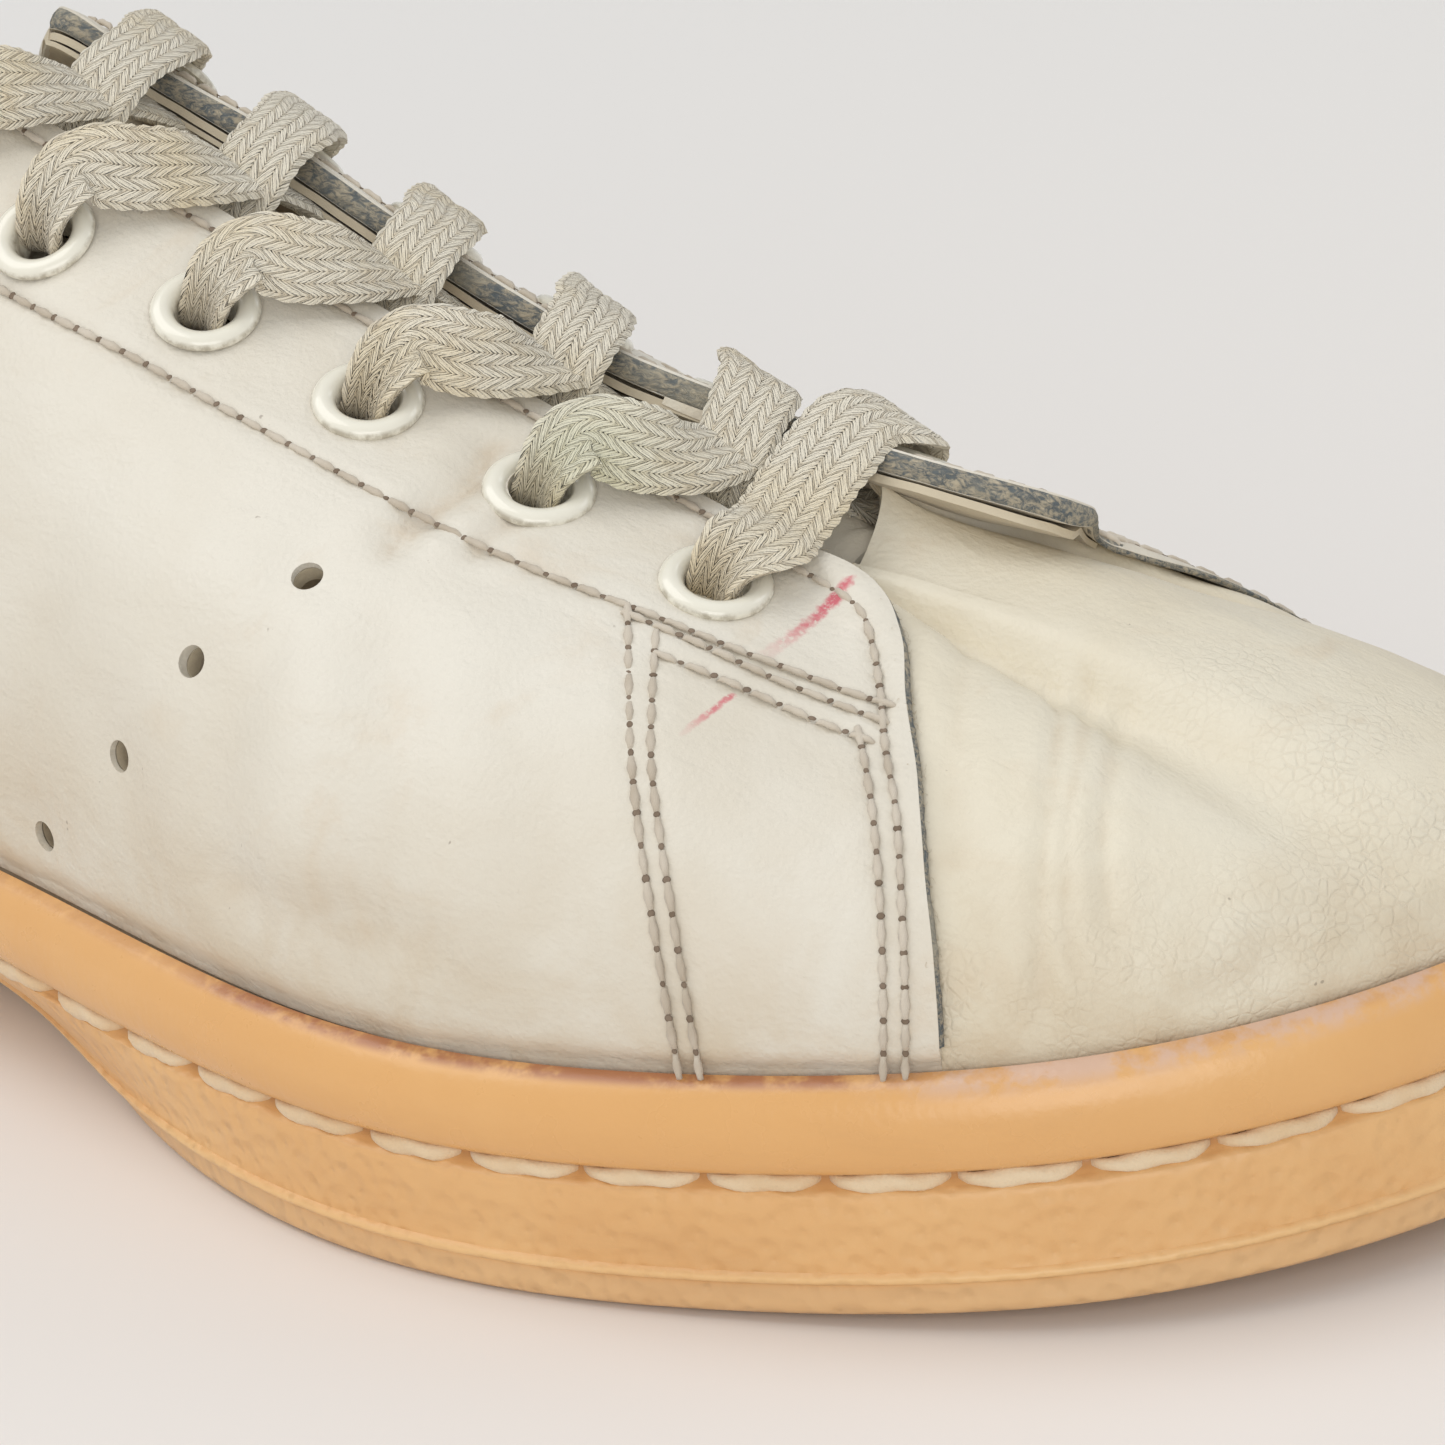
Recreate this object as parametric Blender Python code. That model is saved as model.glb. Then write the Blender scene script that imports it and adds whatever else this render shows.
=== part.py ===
"""Worn low leather tennis shoe for the right foot, in metres: +X to the toe, +Z up, outer side at -Y."""
import math

import bmesh
import bpy
import numpy as np
from mathutils import Matrix, Vector

# Driving sizes of the whole shoe
SHOE_LENGTH = 0.286
BALL_WIDTH = 0.1027
SIDE_HEIGHT = 0.0226
TOE_SIDE_RISE = 0.0062
HEEL_SIDE_RISE = 0.0050
TOE_SPRING = 0.0045
HEEL_BEVEL = 0.0012
ARCH_RISE = 0.0012
VAMP_HEIGHT = 0.0552
INSTEP_HEIGHT = 0.0911
HEEL_HEIGHT = 0.0880
ANKLE_HEIGHT = 0.0690
THROAT_SHIFT = -0.0025
THROAT_GAP = 0.0150
COLLAR_WIDTH = 0.0570

# Walls, layers and clearances
GAP = 0.0003
CUP_WALL = 0.0030
FOREFOOT_STACK = 0.0075
HEEL_STACK = 0.0165
INSOLE_THICKNESS = 0.0035
VAMP_WALL = 0.0018
QUARTER_STEP = 0.0013
TAB_THICKNESS = 0.0012
TONGUE_THICKNESS = 0.0034

# Sole side: groove, ridge, waist and tread
GROOVE_DEPTH = 0.0013
RIDGE_PROUD = 0.0005
LIP_PROUD = 0.0007
EDGE_ROUND = 0.0012
RIM_ROUND = 0.0016
OUTER_UNDERCUT = 0.0140
INNER_UNDERCUT = 0.0100
TREAD_DEPTH = 0.0016
TREAD_SLOT = 0.0028
TREAD_PITCH = 0.0105
TREAD_RIM = 0.0085

# Lacing
EYELET_PAIRS = 6
FRONT_EYELET = 0.2110
EYELET_PITCH = 0.0193
EYELET_INSET = 0.0142
EYELET_BORE = 0.0054
EYELET_WIDTH = 0.0098
EYELET_PROUD = 0.0012
EYELET_WALL = 0.0004
LACE_WIDTH = 0.0068
LACE_THICKNESS = 0.0016
LACE_TUCK = 0.0040

# Heel tab and tongue
TAB_WIDTH = 0.0440
TAB_DROP = 0.0300
TONGUE_HALF = 0.0190
TONGUE_TOP_HALF = 0.0215
TONGUE_ROOM = 0.0034
TONGUE_REACH = 0.0300
TONGUE_LIFT = 0.0030
TONGUE_TAPER = 0.30
TONGUE_SAG = 0.0175
TONGUE_TOE_END = 0.0100

# Places along the sole, as shares of its length
TOE_SPRING_START = 0.70
TOE_RISE_START = 0.69
HEEL_RISE_END = 0.42
HEEL_BEVEL_END = 0.06
ARCH_START = 0.30
ARCH_END = 0.56
ARCH_EASE = 0.08
STACK_TOP_END = 0.26
STACK_LOW_START = 0.66
OUTER_WAIST = 0.41
INNER_WAIST = 0.43
WAIST_SPREAD = 0.135
THROAT_END = 0.42
HEEL_TREAD = (0.10, 0.27)
FOREFOOT_TREAD = (0.60, 0.90)

# Plan of the sole: share of the length, then half widths as shares of the ball width
OUTLINE = (
    ("along", "outer", "inner"),
    (0.0000, 0.0000, 0.0000),
    (0.0138, 0.1627, 0.1627),
    (0.0414, 0.2679, 0.2584),
    (0.1034, 0.3540, 0.3445),
    (0.2069, 0.3827, 0.3684),
    (0.3103, 0.3875, 0.3445),
    (0.4138, 0.4163, 0.3254),
    (0.5172, 0.4689, 0.3540),
    (0.6034, 0.5215, 0.4019),
    (0.6724, 0.5455, 0.4402),
    (0.7414, 0.5290, 0.4600),
    (0.8103, 0.4720, 0.4600),
    (0.8700, 0.4000, 0.4360),
    (0.9170, 0.3180, 0.3950),
    (0.9510, 0.2240, 0.3380),
    (0.9760, 0.1200, 0.2680),
    (0.9930, 0.0100, 0.1800),
    (1.0000, -0.0850, 0.0850),
)

# Outer face of the cup, from the ground up: share of the side height, then how far it stands out
SIDE = (
    ("height", "size", "share"),
    (0.000, EDGE_ROUND, -1.0),
    (0.045, EDGE_ROUND, 0.0),
    (0.150, RIDGE_PROUD, 0.0),
    (0.175, RIDGE_PROUD, 1.0),
    (0.205, RIDGE_PROUD, 0.0),
    (0.390, RIDGE_PROUD, 0.0),
    (0.565, GROOVE_DEPTH, 0.0),
    (0.590, GROOVE_DEPTH, -1.0),
    (0.625, GROOVE_DEPTH, -0.1),
    (0.730, LIP_PROUD, 1.0),
    (0.890, LIP_PROUD, 0.5),
    (0.970, RIM_ROUND, -0.35),
    (1.000, RIM_ROUND, -1.0),
)
GROOVE_SHARE = 0.565

# Sections of the upper, heel to toe on each side: share of the way round the last's feather edge, the
# top edge's place (share of the length, share of its width, level between its two heights), then the
# lean of the wall at the lip, how far it rises, how far the top runs in flat, and its tilt there
UPPER = (
    ("around", "edge_x", "width", "half", "low", "high", "level", "lean", "rise", "reach", "tilt"),
    (0.000, 0.027, COLLAR_WIDTH, 0.00, ANKLE_HEIGHT, HEEL_HEIGHT, 0.88, 9.0, 0.34, 0.34, 84.0),
    (0.070, 0.038, COLLAR_WIDTH, 0.21, ANKLE_HEIGHT, HEEL_HEIGHT, 0.84, 8.0, 0.34, 0.34, 84.0),
    (0.130, 0.078, COLLAR_WIDTH, 0.37, ANKLE_HEIGHT, HEEL_HEIGHT, 0.58, 7.0, 0.34, 0.34, 82.0),
    (0.200, 0.155, COLLAR_WIDTH, 0.475, ANKLE_HEIGHT, HEEL_HEIGHT, 0.17, 5.0, 0.36, 0.34, 78.0),
    (0.276, 0.240, COLLAR_WIDTH, 0.50, ANKLE_HEIGHT, INSTEP_HEIGHT, 0.00, 4.0, 0.38, 0.34, 72.0),
    (0.340, 0.305, COLLAR_WIDTH, 0.435, ANKLE_HEIGHT, INSTEP_HEIGHT, 0.14, 4.0, 0.40, 0.36, 60.0),
    (0.390, 0.350, COLLAR_WIDTH, 0.30, ANKLE_HEIGHT, INSTEP_HEIGHT, 0.58, 4.0, 0.42, 0.38, 42.0),
    (0.428, 0.382, THROAT_GAP, 0.62, ANKLE_HEIGHT, INSTEP_HEIGHT, 0.91, 4.0, 0.43, 0.40, 25.0),
    (0.480, 0.425, THROAT_GAP, 0.53, VAMP_HEIGHT, INSTEP_HEIGHT, 0.87, 4.0, 0.43, 0.41, 18.5),
    (0.551, 0.482, THROAT_GAP, 0.49, VAMP_HEIGHT, INSTEP_HEIGHT, 0.73, 4.0, 0.43, 0.42, 16.5),
    (0.622, 0.545, THROAT_GAP, 0.44, VAMP_HEIGHT, INSTEP_HEIGHT, 0.555, 5.0, 0.42, 0.42, 14.5),
    (0.691, 0.610, THROAT_GAP, 0.39, VAMP_HEIGHT, INSTEP_HEIGHT, 0.375, 6.0, 0.385, 0.43, 12.5),
    (0.756, 0.672, THROAT_GAP, 0.34, VAMP_HEIGHT, INSTEP_HEIGHT, 0.205, 6.0, 0.36, 0.43, 10.5),
    (0.815, 0.732, THROAT_GAP, 0.28, VAMP_HEIGHT, INSTEP_HEIGHT, 0.04, 6.0, 0.33, 0.42, 10.5),
    (0.870, 0.748, THROAT_GAP, 0.20, VAMP_HEIGHT, INSTEP_HEIGHT, 0.00, 7.0, 0.295, 0.40, 11.5),
    (0.935, 0.7545, THROAT_GAP, 0.10, VAMP_HEIGHT, INSTEP_HEIGHT, -0.01, 8.0, 0.265, 0.37, 11.5),
    (1.000, 0.757, THROAT_GAP, 0.00, VAMP_HEIGHT, INSTEP_HEIGHT, -0.02, 8.0, 0.25, 0.36, 11.5),
)

# The inner side at the same sections: its facing slopes down more and stands up where wear has flared it
INNER_EDGE = (
    ("around", "half", "lift", "rise", "reach", "tilt"),
    (0.000, 0.00, 0.0000, 0.34, 0.34, 84.0),
    (0.070, 0.21, 0.0000, 0.34, 0.34, 84.0),
    (0.130, 0.37, 0.0000, 0.34, 0.34, 82.0),
    (0.200, 0.475, 0.0000, 0.36, 0.34, 78.0),
    (0.276, 0.50, 0.0000, 0.38, 0.34, 73.0),
    (0.340, 0.435, 0.0000, 0.40, 0.36, 62.0),
    (0.390, 0.30, 0.0000, 0.38, 0.37, 46.0),
    (0.428, 0.62, 0.0000, 0.34, 0.38, 36.0),
    (0.480, 0.49, 0.0006, 0.28, 0.34, 34.0),
    (0.551, 0.40, 0.0012, 0.25, 0.32, 36.0),
    (0.622, 0.30, 0.0016, 0.23, 0.30, 38.0),
    (0.691, 0.25, 0.0020, 0.22, 0.30, 39.0),
    (0.756, 0.28, 0.0034, 0.22, 0.30, 40.0),
    (0.815, 0.46, 0.0060, 0.22, 0.30, 40.0),
    (0.870, 0.55, 0.0054, 0.24, 0.34, 32.0),
    (0.935, 0.32, 0.0026, 0.26, 0.37, 22.0),
    (1.000, 0.00, 0.0000, 0.25, 0.36, 11.5),
)

# Front seam of the quarters: share of the way up the wall, then how far it bows to the toe
SEAM_AROUND = 0.815
SEAM_REACH = 0.185
SEAM = (
    ("up", "bow"),
    (0.00, 0.000),
    (0.45, 0.014),
    (0.75, 0.052),
    (0.92, 0.058),
    (1.00, 0.020),
)

# Padding of the collar: share of the way round, then its depth as a share of the collar padding
COLLAR_PADDING = 0.0030
PADDING = (
    ("around", "depth"),
    (0.00, 0.60),
    (0.12, 0.90),
    (0.26, 1.00),
    (0.36, 0.60),
    (0.41, 0.00),
    (1.00, 0.00),
)

# Grid counts
COLUMNS = 35
UP_ROWS = (-1.0, 0.0, 0.05, 0.15, 0.28, 0.42, 0.56, 0.70, 0.84, 1.0)
RING_SIDES = 12
LACE_STATIONS = 13


def column(table, name):
    """Return one named column of a table as an array."""
    place = table[0].index(name)
    return np.array([row[place] for row in table[1:]])


def spline_slopes(knots, values, period):
    """Slopes at the knots of the smooth closed curve through the values."""
    count = len(knots)
    steps = np.diff(np.append(knots, knots[0] + period))
    rises = (np.roll(values, -1, axis=0) - values) / steps[:, None]
    matrix = np.zeros((count, count))
    right = np.zeros_like(values)
    for i in range(count):
        before, after = steps[i - 1], steps[i]
        matrix[i, i - 1] += after
        matrix[i, i] += 2 * (before + after)
        matrix[i, (i + 1) % count] += before
        right[i] = 3 * (after * rises[i - 1] + before * rises[i])
    return np.linalg.solve(matrix, right)


def closed_spline(knots, values, period, where):
    """Read the smooth closed curve through the values at the given places."""
    values = np.asarray(values, float)
    slopes = spline_slopes(knots, values, period)
    where = np.mod(np.asarray(where, float), period)
    left = np.clip(np.searchsorted(knots, where, side="right") - 1, 0, len(knots) - 1)
    right = (left + 1) % len(knots)
    step = np.where(right == 0, knots[0] + period - knots[-1], knots[right] - knots[left])[:, None]
    t = (where - knots[left])[:, None] / step
    start, end = values[left], values[right]
    return ((2 * t ** 3 - 3 * t ** 2 + 1) * start + (t ** 3 - 2 * t ** 2 + t) * step * slopes[left]
            + (3 * t ** 2 - 2 * t ** 3) * end + (t ** 3 - t ** 2) * step * slopes[right])


def dense_outline():
    """Sample the sole's plan and measure each point's share round it: 0 heel, 1 toe, 2 heel again."""
    along = column(OUTLINE, "along") * SHOE_LENGTH
    outer = np.column_stack((along, -column(OUTLINE, "outer") * BALL_WIDTH))
    inner = np.column_stack((along, column(OUTLINE, "inner") * BALL_WIDTH))
    corners = np.vstack((outer, inner[-2:0:-1]))
    steps = np.linalg.norm(np.roll(corners, -1, axis=0) - corners, axis=1)
    knots = np.append(0, np.cumsum(steps)[:-1])
    points = closed_spline(knots, corners, steps.sum(), np.linspace(0, steps.sum(), 2001)[:-1])
    lengths = np.append(0, np.cumsum(np.linalg.norm(np.diff(points, axis=0), axis=1)))
    total = lengths[-1] + np.linalg.norm(points[0] - points[-1])
    toe = int(points[:, 0].argmax())
    share = np.where(lengths <= lengths[toe], lengths / lengths[toe],
                     1 + (lengths - lengths[toe]) / (total - lengths[toe]))
    return np.vstack((points, points[:1])), np.append(share, 2.0)


PLAN, PLAN_SHARE = dense_outline()
CENTRE = (PLAN.min(axis=0) + PLAN.max(axis=0)) / 2


def plan_at(around, inset=0.0):
    """Points of the plan at the given shares round it, moved inward by the inset."""
    around = np.mod(np.asarray(around, float), 2.0)
    step = 0.004
    point = np.column_stack([np.interp(around, PLAN_SHARE, PLAN[:, i]) for i in (0, 1)])
    ahead = np.column_stack([np.interp(np.mod(around + step, 2), PLAN_SHARE, PLAN[:, i]) for i in (0, 1)])
    behind = np.column_stack([np.interp(np.mod(around - step, 2), PLAN_SHARE, PLAN[:, i]) for i in (0, 1)])
    run = ahead - behind
    run /= np.linalg.norm(run, axis=1)[:, None]
    outward = np.column_stack((run[:, 1], -run[:, 0]))
    return point - outward * np.reshape(inset, (-1, 1)), outward


def smooth(value):
    """Ease from 0 to 1."""
    value = np.clip(value, 0, 1)
    return value * value * (3 - 2 * value)


def ground_at(x):
    """Height of the sole's underside: flat at heel and forefoot, raised at arch, toe and back edge."""
    share = x / SHOE_LENGTH
    bevel = HEEL_BEVEL * np.clip(1 - share / HEEL_BEVEL_END, 0, None) ** 2
    arch = ARCH_RISE * smooth((share - ARCH_START) / ARCH_EASE) * smooth((ARCH_END - share) / ARCH_EASE)
    return toe_spring_at(share) + bevel + arch


def toe_spring_at(share):
    """How far the sole has risen towards the toe."""
    return TOE_SPRING * np.clip((share - TOE_SPRING_START) / (1 - TOE_SPRING_START), 0, None) ** 2


def side_height_at(x):
    """Height of the cup's rim over its length."""
    share = x / SHOE_LENGTH
    toe = TOE_SIDE_RISE * np.clip((share - TOE_RISE_START) / (1 - TOE_RISE_START), 0, None) ** 2
    heel = HEEL_SIDE_RISE * smooth(1 - share / HEEL_RISE_END)
    return SIDE_HEIGHT + toe + heel


def floor_at(x):
    """Height of the cup's inner floor, higher under the heel."""
    share = x / SHOE_LENGTH
    wedge = smooth((STACK_LOW_START - share) / (STACK_LOW_START - STACK_TOP_END))
    return FOREFOOT_STACK + (HEEL_STACK - FOREFOOT_STACK) * wedge + toe_spring_at(share)


def undercut_at(x, y):
    """How far the waist of the side draws in at the ground on each side."""
    share = x / SHOE_LENGTH
    outer = OUTER_UNDERCUT * np.exp(-((share - OUTER_WAIST) / WAIST_SPREAD) ** 2)
    inner = INNER_UNDERCUT * np.exp(-((share - INNER_WAIST) / WAIST_SPREAD) ** 2)
    return np.where(y < 0, outer, inner)


def make_object(name, points, faces, colour, roughness, metallic=0.0):
    """Make one named object with its own material from points in the shoe's frame."""
    mesh = bpy.data.meshes.new(name)
    shift = np.array([CENTRE[0], CENTRE[1], 0.0])
    mesh.from_pydata((np.asarray(points) - shift).tolist(), [], [tuple(int(i) for i in f) for f in faces])
    mesh.validate()
    mesh.shade_smooth()
    mesh.set_sharp_from_angle(angle=math.radians(35))
    material = bpy.data.materials.new(name)
    material.use_nodes = True
    shader = material.node_tree.nodes["Principled BSDF"]
    shader.inputs["Base Color"].default_value = (*colour, 1)
    shader.inputs["Roughness"].default_value = roughness
    shader.inputs["Metallic"].default_value = metallic
    mesh.materials.append(material)
    thing = bpy.data.objects.new(name, mesh)
    bpy.context.scene.collection.objects.link(thing)
    return thing


def band(lower, upper):
    """Faces between two closed rings of equal count, the lower one first."""
    count = len(lower)
    return [(lower[i], lower[(i + 1) % count], upper[(i + 1) % count], upper[i]) for i in range(count)]


def ladder(ring, upward):
    """Close a ring from side to side with rungs between the outer and the inner half."""
    count = len(ring)
    faces = []
    for i in range(count // 2):
        quad = (ring[i], ring[i + 1], ring[(count - i - 1) % count], ring[(count - i) % count])
        quad = tuple(dict.fromkeys(quad))
        faces.append(quad if upward else quad[::-1])
    return faces


def rings_to_solid(rings, close_top, close_bottom):
    """Join rings of points, listed from the bottom of the outer face on, into points and faces."""
    points = np.vstack(rings)
    index = np.arange(len(points)).reshape(len(rings), -1)
    faces = []
    for low, high in zip(index[:-1], index[1:]):
        faces += band(low, high)
    if close_bottom:
        faces += ladder(index[0], upward=False)
    if close_top:
        faces += ladder(index[-1], upward=True)
    return points, faces


def ring_at(around, inset, height):
    """One ring of the plan at an inset, with its own heights."""
    flat, _ = plan_at(around, inset)
    return np.column_stack((flat, height))


def tread_cutter():
    """One object of all the slots between the tread lugs of forefoot and heel."""
    builder = bmesh.new()
    for first, last in (HEEL_TREAD, FOREFOOT_TREAD):
        count = int((last - first) * SHOE_LENGTH / TREAD_PITCH)
        for i in range(count):
            x = first * SHOE_LENGTH + (i + 0.5) * TREAD_PITCH
            share = np.interp(x, PLAN[:len(PLAN) // 2, 0], PLAN_SHARE[:len(PLAN) // 2])
            outer = plan_at([share], TREAD_RIM)[0][0, 1]
            inner = plan_at([2 - share], TREAD_RIM)[0][0, 1]
            low = ground_at(np.array([x]))[0]
            tilt = math.atan2(ground_at(np.array([x + TREAD_SLOT]))[0] - low, TREAD_SLOT)
            place = Matrix.Translation((x - CENTRE[0], (outer + inner) / 2 - CENTRE[1], low))
            size = Matrix.Diagonal((TREAD_SLOT, inner - outer, 2 * TREAD_DEPTH, 1))
            bmesh.ops.create_cube(builder, size=1, matrix=place @ Matrix.Rotation(-tilt, 4, "Y") @ size)
    mesh = bpy.data.meshes.new("tread_cutter")
    builder.to_mesh(mesh)
    builder.free()
    cutter = bpy.data.objects.new("tread_cutter", mesh)
    bpy.context.scene.collection.objects.link(cutter)
    cutter.hide_render = True
    cutter.display_type = "WIRE"
    return cutter


def cut(thing, cutter):
    """Cut one object out of another."""
    boolean = thing.modifiers.new("cut", "BOOLEAN")
    boolean.operation = "DIFFERENCE"
    boolean.solver = "EXACT"
    boolean.object = cutter


def make_cupsole():
    """The rubber cup: outer face with band, ridge, groove and lip, inner wall and floor, tread below."""
    around = wall_columns()
    flat, _ = plan_at(around)
    x, y = flat[:, 0], flat[:, 1]
    low, rim = ground_at(x), side_height_at(x)
    rings = []
    for share, size, part in SIDE[1:]:
        draw = undercut_at(x, y) * max(0.0, 1 - share / GROOVE_SHARE)
        rings.append(ring_at(around, draw - size * part, low + (rim - low) * share))
    rings.append(ring_at(around, np.full(len(x), CUP_WALL), rim - RIM_ROUND / 2))
    rings.append(ring_at(around, np.full(len(x), CUP_WALL), floor_at(x)))
    points, faces = rings_to_solid(rings, close_top=True, close_bottom=True)
    sole = make_object("cupsole", points, faces, (0.80, 0.45, 0.17), 0.5)
    cut(sole, tread_cutter())


def make_insole():
    """The footbed that lies in the cup inside the upper's feather edge."""
    around = np.arange(COLUMNS + 1) * 2 / (COLUMNS + 1)
    inset = np.full(len(around), CUP_WALL + VAMP_WALL + 3 * GAP)
    x = plan_at(around, inset)[0][:, 0]
    under = floor_at(x) + GAP
    rings = [ring_at(around, inset, under), ring_at(around, inset, under + INSOLE_THICKNESS)]
    points, faces = rings_to_solid(rings, close_top=True, close_bottom=True)
    make_object("insole", points, faces, (0.66, 0.58, 0.45), 0.9)


def throat_axis(x):
    """Sideways place of the throat's middle."""
    return THROAT_SHIFT * smooth(x / (THROAT_END * SHOE_LENGTH))


def section_curve(places):
    """Read the upper's sections at the given places round the shoe."""
    around = column(UPPER, "around")
    edge_x = column(UPPER, "edge_x") * SHOE_LENGTH
    half = column(UPPER, "half") * column(UPPER, "width")
    low, high = column(UPPER, "low"), column(UPPER, "high")
    heights = low + (high - low) * column(UPPER, "level")
    lean = column(UPPER, "lean")
    shape = [column(UPPER, name) for name in ("rise", "reach", "tilt")]
    outer = np.column_stack([edge_x, throat_axis(edge_x) - half, heights, lean, *shape])
    half = column(INNER_EDGE, "half") * column(UPPER, "width")
    heights = heights + column(INNER_EDGE, "lift")
    shape = [column(INNER_EDGE, name) for name in ("rise", "reach", "tilt")]
    inner = np.column_stack([edge_x, throat_axis(edge_x) + half, heights, lean, *shape])
    knots = np.append(around, 2 - around[-2:0:-1])
    return closed_spline(knots, np.vstack((outer, inner[-2:0:-1])), 2.0, places)


def base_surface(around, up):
    """Points of the upper's base skin: up -1 at the feather edge, 0 at the lip, 1 at the top edge."""
    around = np.asarray(around, float)
    up = np.asarray(up, float)
    step = 0.002
    section = section_curve(around)
    edge = section[:, :3]
    run = section_curve(around + step)[:, :3] - section_curve(around - step)[:, :3]
    flat, outward = plan_at(around, CUP_WALL + GAP)
    x = flat[:, 0]
    foot = np.column_stack((flat, side_height_at(x) + GAP))
    feather = np.column_stack((flat, floor_at(x) + GAP))
    lean, rise, reach, tilt = section[:, 3], section[:, 4], section[:, 5], np.radians(section[:, 6])
    lean = np.radians(lean)[:, None]
    span = np.linalg.norm(edge - foot, axis=1)[:, None]
    wall = np.column_stack((outward, np.zeros(len(x)))) * np.sin(lean) + np.array([0, 0, 1.0]) * np.cos(lean)
    run /= np.linalg.norm(run[:, :2], axis=1)[:, None]
    across = np.column_stack((-run[:, 1], run[:, 0], np.zeros(len(x))))
    plan_way = edge[:, :2] - foot[:, :2]
    plan_way /= np.linalg.norm(plan_way, axis=1)[:, None]
    with_across = np.abs((plan_way * across[:, :2]).sum(axis=1))[:, None]
    with_run = (plan_way * run[:, :2]).sum(axis=1)[:, None]
    tilt = tilt[:, None]
    upright = np.array([0, 0, 1.0])
    top = with_across * (across * np.cos(tilt) + upright * np.sin(tilt)) + with_run * np.cos(tilt) * run
    top /= np.linalg.norm(top, axis=1)[:, None]
    second = foot + wall * span * rise[:, None]
    third = edge - top * span * reach[:, None]
    t = np.clip(up, 0, 1)[:, None]
    skin = (1 - t) ** 3 * foot + 3 * (1 - t) ** 2 * t * second + 3 * (1 - t) * t ** 2 * third + t ** 3 * edge
    cup = foot + (feather - foot) * np.clip(-up, 0, 1)[:, None]
    return np.where(up[:, None] < 0, cup, skin)


def upper_skin(around, up, proud=0.0):
    """Points of the upper, moved out from the base skin by the given amount, and the outward normals."""
    around = np.asarray(around, float)
    up = np.asarray(up, float)
    step = 0.003
    high = np.minimum(up + step, 1)
    low = np.where(up <= 0, np.minimum(up + step, 0) - 2 * step, up - step)
    high = np.where(up < 0, np.minimum(up + step, 0), high)
    climb = base_surface(around, high) - base_surface(around, low)
    turn = base_surface(around + step, up) - base_surface(around - step, up)
    normal = np.cross(turn, climb)
    normal /= np.linalg.norm(normal, axis=1)[:, None]
    return base_surface(around, up) + normal * np.reshape(proud, (-1, 1)), normal


def seam_warp(around, up):
    """Draw the columns near the quarters' front seams towards the toe as the seam bows."""
    near = 1 - np.abs(1 - np.mod(around, 2))
    bow = np.interp(up, column(SEAM, "up"), column(SEAM, "bow"))
    ahead = (1 - near) / SEAM_REACH
    behind = 1 - (SEAM_AROUND - near) / SEAM_REACH
    pull = np.clip(np.where(near > SEAM_AROUND, ahead, behind), 0, 1)
    return around + bow * pull * np.where(np.mod(around, 2) < 1, 1, -1)


def wall_columns():
    """Shares round the shoe of the wall's columns, with a close pair at each front seam."""
    half_step = 0.0025
    behind = np.linspace(0, SEAM_AROUND - half_step, COLUMNS - 8)
    ahead = np.linspace(SEAM_AROUND + half_step, 1, 9)
    outer = np.append(behind, ahead)
    return np.append(outer, 2 - outer[-2:0:-1])


def quarter_lift(around, up):
    """How far the quarters lie over the vamp: nothing inside the cup or ahead of the seam."""
    near = 1 - np.abs(1 - np.mod(around, 2))
    return QUARTER_STEP * np.where(near < SEAM_AROUND, 1, 0) * np.clip(up / 0.05, 0, 1)


def padding_at(around, up):
    """Depth of the padding inside the collar."""
    near = 1 - np.abs(1 - np.mod(around, 2))
    depth = np.interp(near, column(PADDING, "around"), column(PADDING, "depth"))
    return COLLAR_PADDING * depth * smooth((up - 0.5) / 0.25) * smooth((1.08 - up) / 0.16)


def make_upper():
    """The leather shell: quarters over vamp, open at collar, throat and underneath, eyelet holes cut."""
    around = wall_columns()
    outer = []
    inner = []
    for up in UP_ROWS:
        height = np.full(len(around), up)
        place = seam_warp(around, height)
        outer.append(upper_skin(place, height, quarter_lift(around, height))[0])
        inner.append(upper_skin(place, height, -VAMP_WALL - padding_at(around, height))[0])
    points = np.vstack(outer + inner[::-1])
    index = np.arange(len(points)).reshape(2 * len(UP_ROWS), -1)
    faces = []
    for low, high in zip(index, np.roll(index, -1, axis=0)):
        faces += band(low, high)
    upper = make_object("upper", points, faces, (0.80, 0.77, 0.68), 0.5)
    cut(upper, eyelet_cutter())


def facing_point(share, side, inset, proud):
    """A point of the facing at a distance from the throat's edge, its normal and the way to the edge."""
    around = share if side < 0 else 2 - share
    ups = np.linspace(1, 0.3, 141)
    skin, normals = upper_skin(np.full(len(ups), around), ups, 0.0)
    lengths = np.append(0, np.cumsum(np.linalg.norm(np.diff(skin, axis=0), axis=1)))
    place = np.array([np.interp(inset, lengths, skin[:, i]) for i in range(3)])
    normal = np.array([np.interp(inset, lengths, normals[:, i]) for i in range(3)])
    normal /= np.linalg.norm(normal)
    return place + normal * proud, normal


def facing_share(x, side, inset):
    """Share round the shoe where a point of the facing at this inset has the given place along the shoe."""
    shares = np.linspace(0.40, 0.86, 47)
    places = [facing_point(share, side, inset, 0.0)[0][0] for share in shares]
    return float(np.interp(x, places, shares))


def eyelet_place(number):
    """Place along the shoe of an eyelet, counted from the toe end."""
    return FRONT_EYELET - number * EYELET_PITCH


def eyelet_frames():
    """Name, centre on the facing's face and normal of each eyelet."""
    frames = []
    for i in range(EYELET_PAIRS):
        for side, label in ((-1, "outer"), (1, "inner")):
            share = facing_share(eyelet_place(i), side, EYELET_INSET)
            place, normal = facing_point(share, side, EYELET_INSET, QUARTER_STEP)
            frames.append((f"eyelet_{label}_{i + 1}", place, normal))
    return frames


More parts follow.
